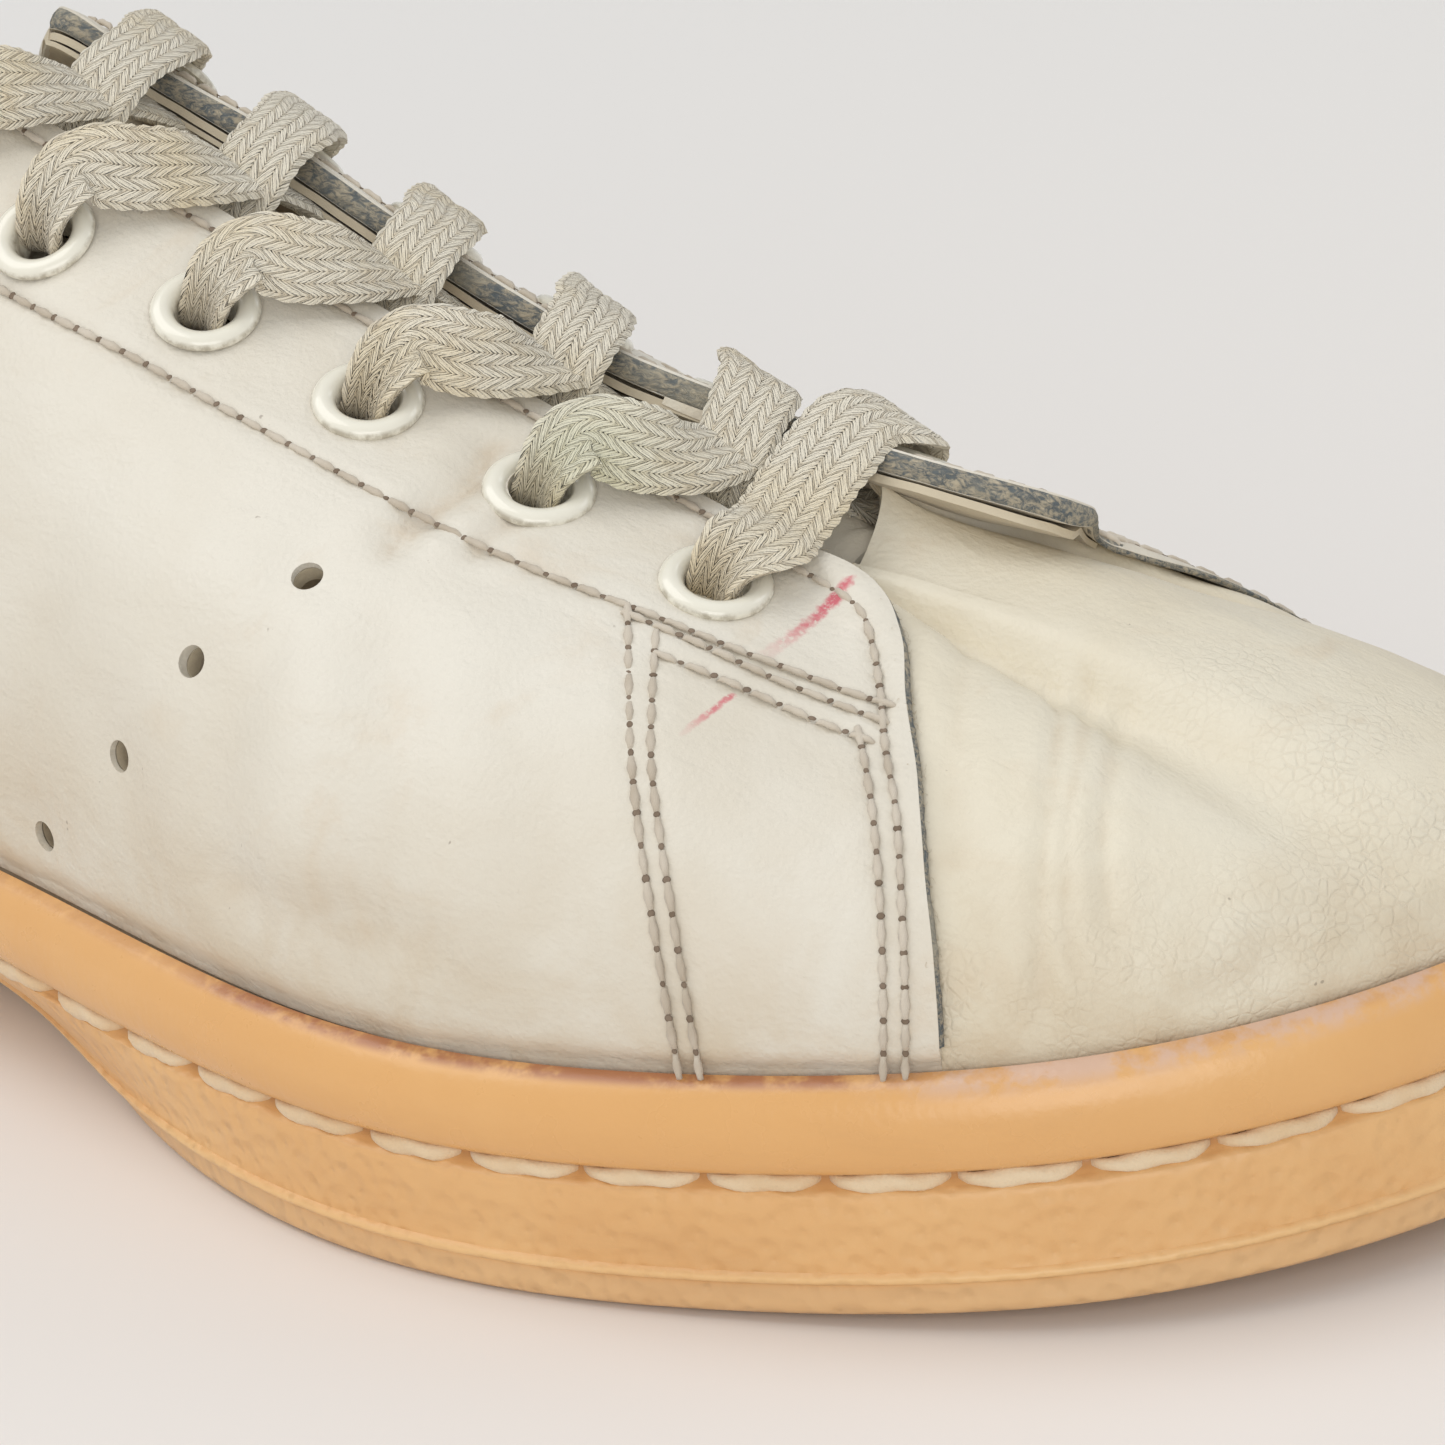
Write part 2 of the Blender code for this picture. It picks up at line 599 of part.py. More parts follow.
def turned(profile, sides, place, normal):
    """Turn a closed profile of (radius, height) pairs about an axis."""
    turn = Vector((0, 0, 1)).rotation_difference(Vector(normal)).to_matrix()
    points = []
    for radius, height in profile:
        for i in range(sides):
            angle = 2 * math.pi * i / sides
            spot = turn @ Vector((radius * math.cos(angle), radius * math.sin(angle), height))
            points.append(np.array(spot) + place)
    return points


def eyelet_cutter():
    """One object of all the holes that the eyelets pass through."""
    radius = EYELET_BORE / 2 + EYELET_WALL + GAP
    depth = QUARTER_STEP + VAMP_WALL
    points = []
    faces = []
    for _, place, normal in eyelet_frames():
        start = len(points)
        points += turned(((radius, -2 * depth), (radius, depth)), RING_SIDES, place, normal)
        low = list(range(start, start + RING_SIDES))
        high = list(range(start + RING_SIDES, start + 2 * RING_SIDES))
        faces += band(low, high) + [tuple(low[::-1]), tuple(high)]
    cutter = make_object("eyelet_cutter", points, faces, (0.5, 0.5, 0.5), 0.5)
    cutter.hide_render = True
    cutter.display_type = "WIRE"
    return cutter


def make_eyelets():
    """Enamelled rings: a rolled flange on the facing and a barrel through the wall."""
    bore = EYELET_BORE / 2
    width = EYELET_WIDTH / 2
    tail = QUARTER_STEP + VAMP_WALL - GAP
    profile = (
        (bore, -tail),
        (bore + EYELET_WALL, -tail),
        (bore + EYELET_WALL, 2 * GAP),
        (width, 2 * GAP),
        (width, GAP + EYELET_PROUD * 0.45),
        ((bore + width) / 2, GAP + EYELET_PROUD),
        (bore, GAP + EYELET_PROUD * 0.5),
    )
    for name, place, normal in eyelet_frames():
        points = turned(profile, RING_SIDES, place, normal)
        index = np.arange(len(points)).reshape(len(profile), -1)
        faces = []
        for low, high in zip(index, np.roll(index, -1, axis=0)):
            faces += band(low, high)
        make_object(name, points, faces, (0.83, 0.84, 0.74), 0.25)


def make_tongue():
    """The tongue: it follows the facings from below, with room for the lace, and stands past the top."""
    distances = np.array((1.0, 0.62, 0.25))
    sink = -(VAMP_WALL + TONGUE_ROOM)
    rows = []
    normals = []
    for i in range(EYELET_PAIRS):
        half = TONGUE_HALF + (TONGUE_TOP_HALF - TONGUE_HALF) * i / (EYELET_PAIRS - 1)
        shares = [facing_share(eyelet_place(i), side, EYELET_INSET) for side in (-1, 1)]
        outer = [facing_point(shares[0], -1, half * d, sink) for d in distances]
        inner = [facing_point(shares[1], 1, half * d, sink) for d in distances[::-1]]
        middle = ((outer[-1][0] + inner[0][0]) / 2, (outer[-1][1] + inner[0][1]) / 2)
        row = outer + [middle] + inner
        rows.append(np.array([spot for spot, _ in row]))
        normals.append(np.array([way for _, way in row]))
    top_way = rows[-1] - rows[-2]
    top_way /= np.linalg.norm(top_way, axis=1)[:, None]
    last = rows[-1]
    way_out = normals[-1]
    aside = np.linspace(-1, 1, len(last))
    for share in (0.4, 0.75, 1.0):
        narrow = (last[3] - last) * np.array([0.0, TONGUE_TAPER * share, 0.0])
        rise = TONGUE_LIFT * share ** 2 - TONGUE_SAG * math.sqrt(share) * aside ** 2
        rows.append(last + top_way * TONGUE_REACH * share + way_out * rise[:, None] + narrow)
        normals.append(way_out)
    toe_way = rows[0] - rows[1]
    toe_way /= np.linalg.norm(toe_way, axis=1)[:, None]
    rows.insert(0, rows[0] + toe_way * TONGUE_TOE_END)
    normals.insert(0, normals[0])
    rows = np.array(rows)
    normals = np.array([way / np.linalg.norm(way, axis=1)[:, None] for way in normals])
    under = rows - normals * TONGUE_THICKNESS
    points = np.vstack((rows.reshape(-1, 3), under.reshape(-1, 3)))
    grid = np.arange(len(points)).reshape(2, *rows.shape[:2])
    faces = slab_faces(grid[0], grid[1])
    make_object("tongue", points, faces, (0.76, 0.72, 0.60), 0.8)


def make_heel_tab():
    """The plain patch sewn over the top of the heel."""
    across = np.linspace(-1, 1, 9) * TAB_WIDTH / 2
    perimeter = np.linalg.norm(np.diff(PLAN, axis=0), axis=1).sum()
    around = across / (perimeter / 2)
    ups = np.linspace(0, 1, 6)
    skins = []
    for proud in (QUARTER_STEP + GAP, QUARTER_STEP + GAP + TAB_THICKNESS):
        for up in ups:
            height = 1 - TAB_DROP / HEEL_HEIGHT * (1 - up)
            skins.append(upper_skin(around, np.full(len(around), height), proud)[0])
    points = np.vstack(skins)
    grid = np.arange(len(points)).reshape(2, len(ups), -1)
    faces = slab_faces(grid[1], grid[0])
    make_object("heel_tab", points, faces, (0.80, 0.77, 0.68), 0.5)


def slab_faces(front, back):
    """Faces of a closed slab between two grids of point numbers, the front one facing out."""
    rows, columns = front.shape
    faces = []
    for i in range(rows - 1):
        for j in range(columns - 1):
            faces.append((front[i, j], front[i, j + 1], front[i + 1, j + 1], front[i + 1, j]))
            faces.append((back[i, j], back[i + 1, j], back[i + 1, j + 1], back[i, j + 1]))
        faces.append((front[i, 0], front[i + 1, 0], back[i + 1, 0], back[i, 0]))
        faces.append((front[i, -1], back[i, -1], back[i + 1, -1], front[i + 1, -1]))
    for j in range(columns - 1):
        faces.append((front[0, j], back[0, j], back[0, j + 1], front[0, j + 1]))
        faces.append((front[-1, j], front[-1, j + 1], back[-1, j + 1], back[-1, j]))
    return faces


def strap(name, route, ways, colour):
    """A flat lace of constant width along a route, flat side along the given ways out."""
    knots = np.append(0, np.cumsum(np.linalg.norm(np.diff(route, axis=0), axis=1)))
    where = np.linspace(0, knots[-1], LACE_STATIONS)
    centre = smooth_run(knots, route, where)
    out = smooth_run(knots, ways, where)
    out /= np.linalg.norm(out, axis=1)[:, None]
    aside = np.column_stack((out[:, 2], np.zeros(len(out)), -out[:, 0]))
    aside *= -np.sign(centre[-1, 1] - centre[0, 1]) / np.linalg.norm(aside, axis=1)[:, None]
    section = ((-0.5, 0.0), (-0.42, -0.5), (0.42, -0.5), (0.5, 0.0), (0.42, 0.5), (-0.42, 0.5))
    points = np.vstack([middle + sideways * LACE_WIDTH * a + way * LACE_THICKNESS * b
                        for middle, sideways, way in zip(centre, aside, out) for a, b in section])
    index = np.arange(len(points)).reshape(LACE_STATIONS, -1)
    faces = [tuple(index[0][::-1]), tuple(index[-1])]
    for low, high in zip(index[:-1], index[1:]):
        faces += band(low, high)
    return make_object(name, points, faces, colour, 0.9)


def smooth_run(knots, values, where):
    """Read a smooth open curve through the values."""
    slopes = np.gradient(values, knots, axis=0)
    left = np.clip(np.searchsorted(knots, where, side="right") - 1, 0, len(knots) - 2)
    step = (knots[left + 1] - knots[left])[:, None]
    t = (where - knots[left])[:, None] / step
    return ((2 * t ** 3 - 3 * t ** 2 + 1) * values[left] + (t ** 3 - 2 * t ** 2 + t) * step * slopes[left]
            + (3 * t ** 2 - 2 * t ** 3) * values[left + 1] + (t ** 3 - t ** 2) * step * slopes[left + 1])


def lace_height():
    """Height of a lace's middle over the facing where it clears the eyelet's flange."""
    return QUARTER_STEP + EYELET_PROUD + 5 * GAP + LACE_THICKNESS / 2


def lace_stop(x, side, inset, proud):
    """A point of the lace over or under a facing, with the way out."""
    return facing_point(facing_share(x, side, inset), side, inset, proud)


def crossing_route(number, side):
    """From under one facing at an eyelet, up through the throat and over the other to the next eyelet."""
    start, end = eyelet_place(number), eyelet_place(number + 1)
    under = -(VAMP_WALL + 2 * GAP + LACE_THICKNESS / 2)
    stops = [lace_stop(start + (end - start) * share, side, inset, under)
             for share, inset in ((0.24, LACE_TUCK), (0.37, 0.0))]
    stops += [lace_stop(start + (end - start) * share, -side, inset, proud)
              for share, (inset, proud) in zip((0.57, 0.75, 0.95), over_facing())]
    return np.array([spot for spot, _ in stops]), np.array([way for _, way in stops])


def over_facing():
    """Inset and height of a lace that comes over the throat's edge and up onto an eyelet."""
    near_flange = EYELET_INSET - EYELET_WIDTH / 2 - LACE_THICKNESS / 2
    return ((0.0, QUARTER_STEP + 5 * GAP + LACE_THICKNESS / 2),
            (near_flange, lace_height()), (EYELET_INSET, lace_height()))


def bar_route():
    """Straight over the throat between the two front eyelets."""
    stops = [lace_stop(FRONT_EYELET, -1, inset, proud) for inset, proud in over_facing()[::-1]]
    stops += [lace_stop(FRONT_EYELET, 1, inset, proud) for inset, proud in over_facing()]
    return np.array([spot for spot, _ in stops]), np.array([way for _, way in stops])


def make_laces():
    """The front bar and one joined crossing between each two pairs of eyelets."""
    colour = (0.78, 0.74, 0.62)
    strap("lace_bar", *bar_route(), colour)
    for number in range(EYELET_PAIRS - 1):
        crossing = strap(f"lace_cross_{number + 1}", *crossing_route(number, -1), colour)
        other = strap(f"lace_half_{number + 1}", *crossing_route(number, 1), colour)
        other.hide_render = True
        other.display_type = "WIRE"
        union = crossing.modifiers.new("join", "BOOLEAN")
        union.operation = "UNION"
        union.solver = "EXACT"
        union.object = other


def remove_scene_objects():
    """Start from an empty scene."""
    for thing in list(bpy.data.objects):
        bpy.data.objects.remove(thing)


remove_scene_objects()
make_cupsole()
make_upper()
make_insole()
make_tongue()
make_heel_tab()
make_eyelets()
make_laces()
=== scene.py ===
"""Looks of the worn leather tennis shoe: right foot, +X to the toe, +Z up, outer side at -Y, in metres."""
import math

import bmesh
import bpy
import numpy as np
from mathutils import Matrix, Vector, noise


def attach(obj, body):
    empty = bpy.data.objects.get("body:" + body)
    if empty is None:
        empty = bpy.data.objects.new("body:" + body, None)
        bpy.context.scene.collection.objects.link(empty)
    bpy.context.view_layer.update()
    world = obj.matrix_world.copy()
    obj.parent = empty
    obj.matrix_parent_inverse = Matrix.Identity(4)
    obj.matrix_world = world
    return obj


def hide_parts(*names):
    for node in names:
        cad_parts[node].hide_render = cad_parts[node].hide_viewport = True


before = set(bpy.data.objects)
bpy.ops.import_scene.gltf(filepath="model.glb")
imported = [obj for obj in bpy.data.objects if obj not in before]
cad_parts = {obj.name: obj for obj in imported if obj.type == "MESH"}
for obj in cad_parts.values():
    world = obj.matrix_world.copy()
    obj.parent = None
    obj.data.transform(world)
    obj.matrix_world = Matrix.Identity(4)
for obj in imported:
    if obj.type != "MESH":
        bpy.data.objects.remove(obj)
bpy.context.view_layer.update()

# Sizes of the shoe, as its solids have them
SHOE_LENGTH = 0.286
BALL_WIDTH = 0.1027
SIDE_HEIGHT = 0.0226
TOE_SIDE_RISE = 0.0062
HEEL_SIDE_RISE = 0.0050
TOE_SPRING = 0.0045
HEEL_BEVEL = 0.0012
ARCH_RISE = 0.0012
VAMP_HEIGHT = 0.0552
INSTEP_HEIGHT = 0.0911
HEEL_HEIGHT = 0.0880
ANKLE_HEIGHT = 0.0690
THROAT_SHIFT = -0.0025
THROAT_GAP = 0.0150
COLLAR_WIDTH = 0.0570
GAP = 0.0003
CUP_WALL = 0.0030
FOREFOOT_STACK = 0.0075
HEEL_STACK = 0.0165
INSOLE_THICKNESS = 0.0035
LINING_FACE = -0.0018
QUARTER_FACE = 0.0013
TAB_THICKNESS = 0.0012
TONGUE_THICKNESS = 0.0034
OUTER_UNDERCUT = 0.0140
INNER_UNDERCUT = 0.0100
TREAD_DEPTH = 0.0016
TREAD_SLOT = 0.0028
TREAD_PITCH = 0.0105
TREAD_RIM = 0.0085
COLLAR_PADDING = 0.0030

# Lacing
EYELET_PAIRS = 6
FRONT_EYELET = 0.2110
EYELET_PITCH = 0.0193
EYELET_INSET = 0.0142
EYELET_WIDTH = 0.0108
EYELET_HOLE = 0.00594
LACE_WIDTH = 0.0084
LACE_THICKNESS = 0.0017
LACE_STEP = 0.00034
BRAID_PITCH = 0.0017
BRAID_COLUMN = 0.0012
BRAID_SLANT = 1.15
BRAID_RELIEF = 0.00014

# Heel tab and tongue
TAB_WIDTH = 0.0440
TAB_DROP = 0.0300
TAB_GAP = 0.00006
TONGUE_HALF = 0.0190
TONGUE_TOP_HALF = 0.0215
TONGUE_ROOM = 0.0034
TONGUE_REACH = 0.0300
TONGUE_LIFT = 0.0030
TONGUE_TAPER = 0.30
TONGUE_SAG = 0.0175
TONGUE_TOE_END = 0.0100
PATCH_ALONG = (0.80, 0.955)
PATCH_HALF = 0.42

# Facings and their raw edges, as places round the shoe and metres
FACING_START = 0.425
EDGE_CORE = 0.0011
FLAP_START = 0.775
FLAP_FOOT = 0.842
FLAP_REACH = 0.52
FLAP_CURL = 0.0018
FLAP_ROOM = 0.0010

# Leather seams
THREAD_PITCH = 0.0030
THREAD_LENGTH = 0.0031
THREAD_WIDTH = 0.00076
THREAD_LIFT = 0.00015
COLLAR_SEAM = 0.0048
TAB_SEAM = 0.0026
NEEDLE_HOLE = 0.00062
SEAM_INSET = 0.0033
WELT_PITCH = 0.0116
WELT_LENGTH = 0.0108
WELT_WIDTH = 0.0019
WELT_SHARE = 0.576
WELT_SINK = 0.0010

# Places along the sole, as shares of its length
TOE_SPRING_START = 0.70
TOE_RISE_START = 0.69
HEEL_RISE_END = 0.42
HEEL_BEVEL_END = 0.06
ARCH_START = 0.30
ARCH_END = 0.56
ARCH_EASE = 0.08
STACK_TOP_END = 0.26
STACK_LOW_START = 0.66
OUTER_WAIST = 0.41
INNER_WAIST = 0.43
WAIST_SPREAD = 0.135
THROAT_END = 0.42
HEEL_TREAD = (0.10, 0.27)
FOREFOOT_TREAD = (0.60, 0.90)

# Plan of the sole: share of the length, then half widths as shares of the ball width
OUTLINE = (
    ("along", "outer", "inner"),
    (0.0000, 0.0000, 0.0000),
    (0.0138, 0.1627, 0.1627),
    (0.0414, 0.2679, 0.2584),
    (0.1034, 0.3540, 0.3445),
    (0.2069, 0.3827, 0.3684),
    (0.3103, 0.3875, 0.3445),
    (0.4138, 0.4163, 0.3254),
    (0.5172, 0.4689, 0.3540),
    (0.6034, 0.5215, 0.4019),
    (0.6724, 0.5455, 0.4402),
    (0.7414, 0.5290, 0.4600),
    (0.8103, 0.4720, 0.4600),
    (0.8700, 0.4000, 0.4360),
    (0.9170, 0.3180, 0.3950),
    (0.9510, 0.2240, 0.3380),
    (0.9760, 0.1200, 0.2680),
    (0.9930, 0.0100, 0.1800),
    (1.0000, -0.0850, 0.0850),
)

# Sections of the upper, heel to toe: place round the shoe, the top edge's place, then the wall's shape
UPPER = (
    ("around", "edge_x", "width", "half", "low", "high", "level", "lean", "rise", "reach", "tilt"),
    (0.000, 0.027, COLLAR_WIDTH, 0.00, ANKLE_HEIGHT, HEEL_HEIGHT, 0.88, 9.0, 0.34, 0.34, 84.0),
    (0.070, 0.038, COLLAR_WIDTH, 0.21, ANKLE_HEIGHT, HEEL_HEIGHT, 0.84, 8.0, 0.34, 0.34, 84.0),
    (0.130, 0.078, COLLAR_WIDTH, 0.37, ANKLE_HEIGHT, HEEL_HEIGHT, 0.58, 7.0, 0.34, 0.34, 82.0),
    (0.200, 0.155, COLLAR_WIDTH, 0.475, ANKLE_HEIGHT, HEEL_HEIGHT, 0.17, 5.0, 0.36, 0.34, 78.0),
    (0.276, 0.240, COLLAR_WIDTH, 0.50, ANKLE_HEIGHT, INSTEP_HEIGHT, 0.00, 4.0, 0.38, 0.34, 72.0),
    (0.340, 0.305, COLLAR_WIDTH, 0.435, ANKLE_HEIGHT, INSTEP_HEIGHT, 0.14, 4.0, 0.40, 0.36, 60.0),
    (0.390, 0.350, COLLAR_WIDTH, 0.30, ANKLE_HEIGHT, INSTEP_HEIGHT, 0.58, 4.0, 0.42, 0.38, 42.0),
    (0.428, 0.382, THROAT_GAP, 0.62, ANKLE_HEIGHT, INSTEP_HEIGHT, 0.91, 4.0, 0.43, 0.40, 25.0),
    (0.480, 0.425, THROAT_GAP, 0.53, VAMP_HEIGHT, INSTEP_HEIGHT, 0.87, 4.0, 0.43, 0.41, 18.5),
    (0.551, 0.482, THROAT_GAP, 0.49, VAMP_HEIGHT, INSTEP_HEIGHT, 0.73, 4.0, 0.43, 0.42, 16.5),
    (0.622, 0.545, THROAT_GAP, 0.44, VAMP_HEIGHT, INSTEP_HEIGHT, 0.555, 5.0, 0.42, 0.42, 14.5),
    (0.691, 0.610, THROAT_GAP, 0.39, VAMP_HEIGHT, INSTEP_HEIGHT, 0.375, 6.0, 0.385, 0.43, 12.5),
    (0.756, 0.672, THROAT_GAP, 0.34, VAMP_HEIGHT, INSTEP_HEIGHT, 0.205, 6.0, 0.36, 0.43, 10.5),
    (0.815, 0.732, THROAT_GAP, 0.28, VAMP_HEIGHT, INSTEP_HEIGHT, 0.04, 6.0, 0.33, 0.42, 10.5),
    (0.870, 0.748, THROAT_GAP, 0.20, VAMP_HEIGHT, INSTEP_HEIGHT, 0.00, 7.0, 0.295, 0.40, 11.5),
    (0.935, 0.7545, THROAT_GAP, 0.10, VAMP_HEIGHT, INSTEP_HEIGHT, -0.01, 8.0, 0.265, 0.37, 11.5),
    (1.000, 0.757, THROAT_GAP, 0.00, VAMP_HEIGHT, INSTEP_HEIGHT, -0.02, 8.0, 0.25, 0.36, 11.5),
)

# The inner side at the same sections: its facing slopes down more and stands up where wear has flared it
INNER_EDGE = (
    ("around", "half", "lift", "rise", "reach", "tilt"),
    (0.000, 0.00, 0.0000, 0.34, 0.34, 84.0),
    (0.070, 0.21, 0.0000, 0.34, 0.34, 84.0),
    (0.130, 0.37, 0.0000, 0.34, 0.34, 82.0),
    (0.200, 0.475, 0.0000, 0.36, 0.34, 78.0),
    (0.276, 0.50, 0.0000, 0.38, 0.34, 73.0),
    (0.340, 0.435, 0.0000, 0.40, 0.36, 62.0),
    (0.390, 0.30, 0.0000, 0.38, 0.37, 46.0),
    (0.428, 0.62, 0.0000, 0.34, 0.38, 36.0),
    (0.480, 0.49, 0.0006, 0.28, 0.34, 34.0),
    (0.551, 0.40, 0.0012, 0.25, 0.32, 36.0),
    (0.622, 0.30, 0.0016, 0.23, 0.30, 38.0),
    (0.691, 0.25, 0.0020, 0.22, 0.30, 39.0),
    (0.756, 0.28, 0.0034, 0.22, 0.30, 40.0),
    (0.815, 0.46, 0.0060, 0.22, 0.30, 40.0),
    (0.870, 0.55, 0.0054, 0.24, 0.34, 32.0),
    (0.935, 0.32, 0.0026, 0.26, 0.37, 22.0),
    (1.000, 0.00, 0.0000, 0.25, 0.36, 11.5),
)

# Front edge of a quarter: share of the way up the wall, then its place round the shoe
QUARTER_FRONT = (
    ("up", "around"),
    (0.00, 0.820),
    (0.19, 0.823),
    (0.37, 0.828),
    (0.52, 0.837),
    (0.69, 0.855),
    (0.80, 0.878),
    (0.87, 0.893),
    (0.92, 0.897),
    (0.955, 0.890),
    (0.98, 0.873),
    (1.00, 0.842),
)

# Padding of the collar: place round the shoe, then its depth as a share of the collar padding
PADDING = (
    ("around", "depth"),
    (0.00, 0.60),
    (0.12, 0.90),
    (0.26, 1.00),
    (0.36, 0.60),
    (0.41, 0.00),
    (1.00, 0.00),
)

# Outer face of the cup, from the ground up: share of the side's height, then how far it stands out
SOLE_SIDE = (
    ("height", "out"),
    (0.000, -0.0014),
    (0.012, -0.0006),
    (0.035, -0.0001),
    (0.070, 0.0000),
    (0.140, -0.0001),
    (0.155, 0.0001),
    (0.165, 0.0006),
    (0.178, 0.0007),
    (0.192, 0.0006),
    (0.205, 0.0001),
    (0.240, 0.0000),
    (0.320, 0.0001),
    (0.420, 0.0002),
    (0.500, 0.0002),
    (0.535, 0.0000),
    (0.553, -0.0006),
    (0.566, -0.0014),
    (0.590, -0.0017),
    (0.606, -0.0012),
    (0.618, -0.0003),
    (0.640, 0.0002),
    (0.690, 0.0006),
    (0.750, 0.0008),
    (0.820, 0.0007),
    (0.880, 0.0003),
    (0.925, -0.0002),
    (0.960, -0.0008),
    (0.985, -0.0015),
    (1.000, -0.0024),
)
GROOVE_SHARE = 0.578

# Rows of thread on each quarter: points (place round the shoe, share of the way up)
SEAM_ROWS = (
    ("eyestay", ((0.405, 0.800), (0.445, 0.762), (0.487, 0.742), (0.533, 0.730), (0.576, 0.727),
                 (0.629, 0.724), (0.674, 0.716), (0.720, 0.707), (0.774, 0.706), (0.817, 0.695),
                 (0.840, 0.672))),
    ("front_corner", ((0.790, 0.944), (0.820, 0.940), (0.846, 0.925), (0.860, 0.895), (0.864, 0.850),
                      (0.856, 0.790), (0.844, 0.715), (0.832, 0.610), (0.824, 0.450), (0.818, 0.300),
                      (0.814, 0.150), (0.811, 0.012))),
    ("front_second", ((0.821, 0.600), (0.817, 0.475), (0.813, 0.345), (0.809, 0.190), (0.805, 0.012))),
    ("rear_first", ((0.750, 0.695), (0.747, 0.564), (0.745, 0.450), (0.745, 0.342), (0.746, 0.220),
                    (0.748, 0.012))),
    ("rear_second", ((0.758, 0.665), (0.754, 0.560), (0.751, 0.450), (0.751, 0.340), (0.752, 0.220),
                     (0.754, 0.012))),
    ("slant_first", ((0.752, 0.692), (0.773, 0.688), (0.795, 0.674), (0.815, 0.660), (0.832, 0.640))),
    ("slant_second", ((0.760, 0.640), (0.778, 0.636), (0.795, 0.624), (0.811, 0.608), (0.822, 0.596))),
)

# Rows of thread beside the facing's edge and the collar: inset, first and last place round the shoe, points
TOP_ROWS = (
    (SEAM_INSET, 0.415, 0.790, 40),
    (COLLAR_SEAM, 0.085, 0.405, 60),
)

# Vent holes of each quarter: place round the shoe, share of the way up
VENTS = ((0.635, 0.559), (0.590, 0.372), (0.552, 0.208), (0.507, 0.066))
VENT_WIDTH = 0.0031
HOLE_DEPTH = 0.0100


def column(table, name):
    """Return one named column of a table as an array."""
    place = table[0].index(name)
    return np.array([row[place] for row in table[1:]])


def unit(rows):
    """Rows scaled to length one."""
    return rows / np.linalg.norm(rows, axis=1)[:, None]


def run_lengths(line):
    """How far along a line of points each of them lies."""
    return np.append(0, np.cumsum(np.linalg.norm(np.diff(line, axis=0), axis=1)))


def spline_slopes(knots, values, period):
    """Slopes at the knots of the smooth closed curve through the values."""
    count = len(knots)
    steps = np.diff(np.append(knots, knots[0] + period))
    rises = (np.roll(values, -1, axis=0) - values) / steps[:, None]
    matrix = np.zeros((count, count))
    right = np.zeros_like(values)
    for i in range(count):
        before, after = steps[i - 1], steps[i]
        matrix[i, i - 1] += after
        matrix[i, i] += 2 * (before + after)
        matrix[i, (i + 1) % count] += before
        right[i] = 3 * (after * rises[i - 1] + before * rises[i])
    return np.linalg.solve(matrix, right)


def closed_spline(knots, values, slopes, period, where):
    """Read the smooth closed curve through the values at the given places."""
    where = np.mod(np.asarray(where, float), period)
    left = np.clip(np.searchsorted(knots, where, side="right") - 1, 0, len(knots) - 1)
    right = (left + 1) % len(knots)
    step = np.where(right == 0, knots[0] + period - knots[-1], knots[right] - knots[left])[:, None]
    t = (where - knots[left])[:, None] / step
    start, end = values[left], values[right]
    return ((2 * t ** 3 - 3 * t ** 2 + 1) * start + (t ** 3 - 2 * t ** 2 + t) * step * slopes[left]
            + (3 * t ** 2 - 2 * t ** 3) * end + (t ** 3 - t ** 2) * step * slopes[right])


def smooth_run(knots, values, where):
    """Read a smooth open curve through the values."""
    slopes = np.gradient(values, knots, axis=0)
    left = np.clip(np.searchsorted(knots, where, side="right") - 1, 0, len(knots) - 2)
    step = (knots[left + 1] - knots[left])[:, None]
    t = (where - knots[left])[:, None] / step
    return ((2 * t ** 3 - 3 * t ** 2 + 1) * values[left] + (t ** 3 - 2 * t ** 2 + t) * step * slopes[left]
            + (3 * t ** 2 - 2 * t ** 3) * values[left + 1] + (t ** 3 - t ** 2) * step * slopes[left + 1])


def dense_outline():
    """Sample the sole's plan and measure each point's share round it: 0 heel, 1 toe, 2 heel again."""
    along = column(OUTLINE, "along") * SHOE_LENGTH
    outer = np.column_stack((along, -column(OUTLINE, "outer") * BALL_WIDTH))
    inner = np.column_stack((along, column(OUTLINE, "inner") * BALL_WIDTH))
    corners = np.vstack((outer, inner[-2:0:-1]))
    steps = np.linalg.norm(np.roll(corners, -1, axis=0) - corners, axis=1)
    knots = np.append(0, np.cumsum(steps)[:-1])
    slopes = spline_slopes(knots, corners, steps.sum())
    points = closed_spline(knots, corners, slopes, steps.sum(), np.linspace(0, steps.sum(), 2001)[:-1])
    lengths = run_lengths(points)
    total = lengths[-1] + np.linalg.norm(points[0] - points[-1])
    toe = int(points[:, 0].argmax())
    share = np.where(lengths <= lengths[toe], lengths / lengths[toe],
                     1 + (lengths - lengths[toe]) / (total - lengths[toe]))
    return np.vstack((points, points[:1])), np.append(share, 2.0)


PLAN, PLAN_SHARE = dense_outline()
CENTRE = (PLAN.min(axis=0) + PLAN.max(axis=0)) / 2
ORIGIN = np.array([CENTRE[0], CENTRE[1], 0.0])
HALF_ROUND = np.linalg.norm(np.diff(PLAN, axis=0), axis=1).sum() / 2


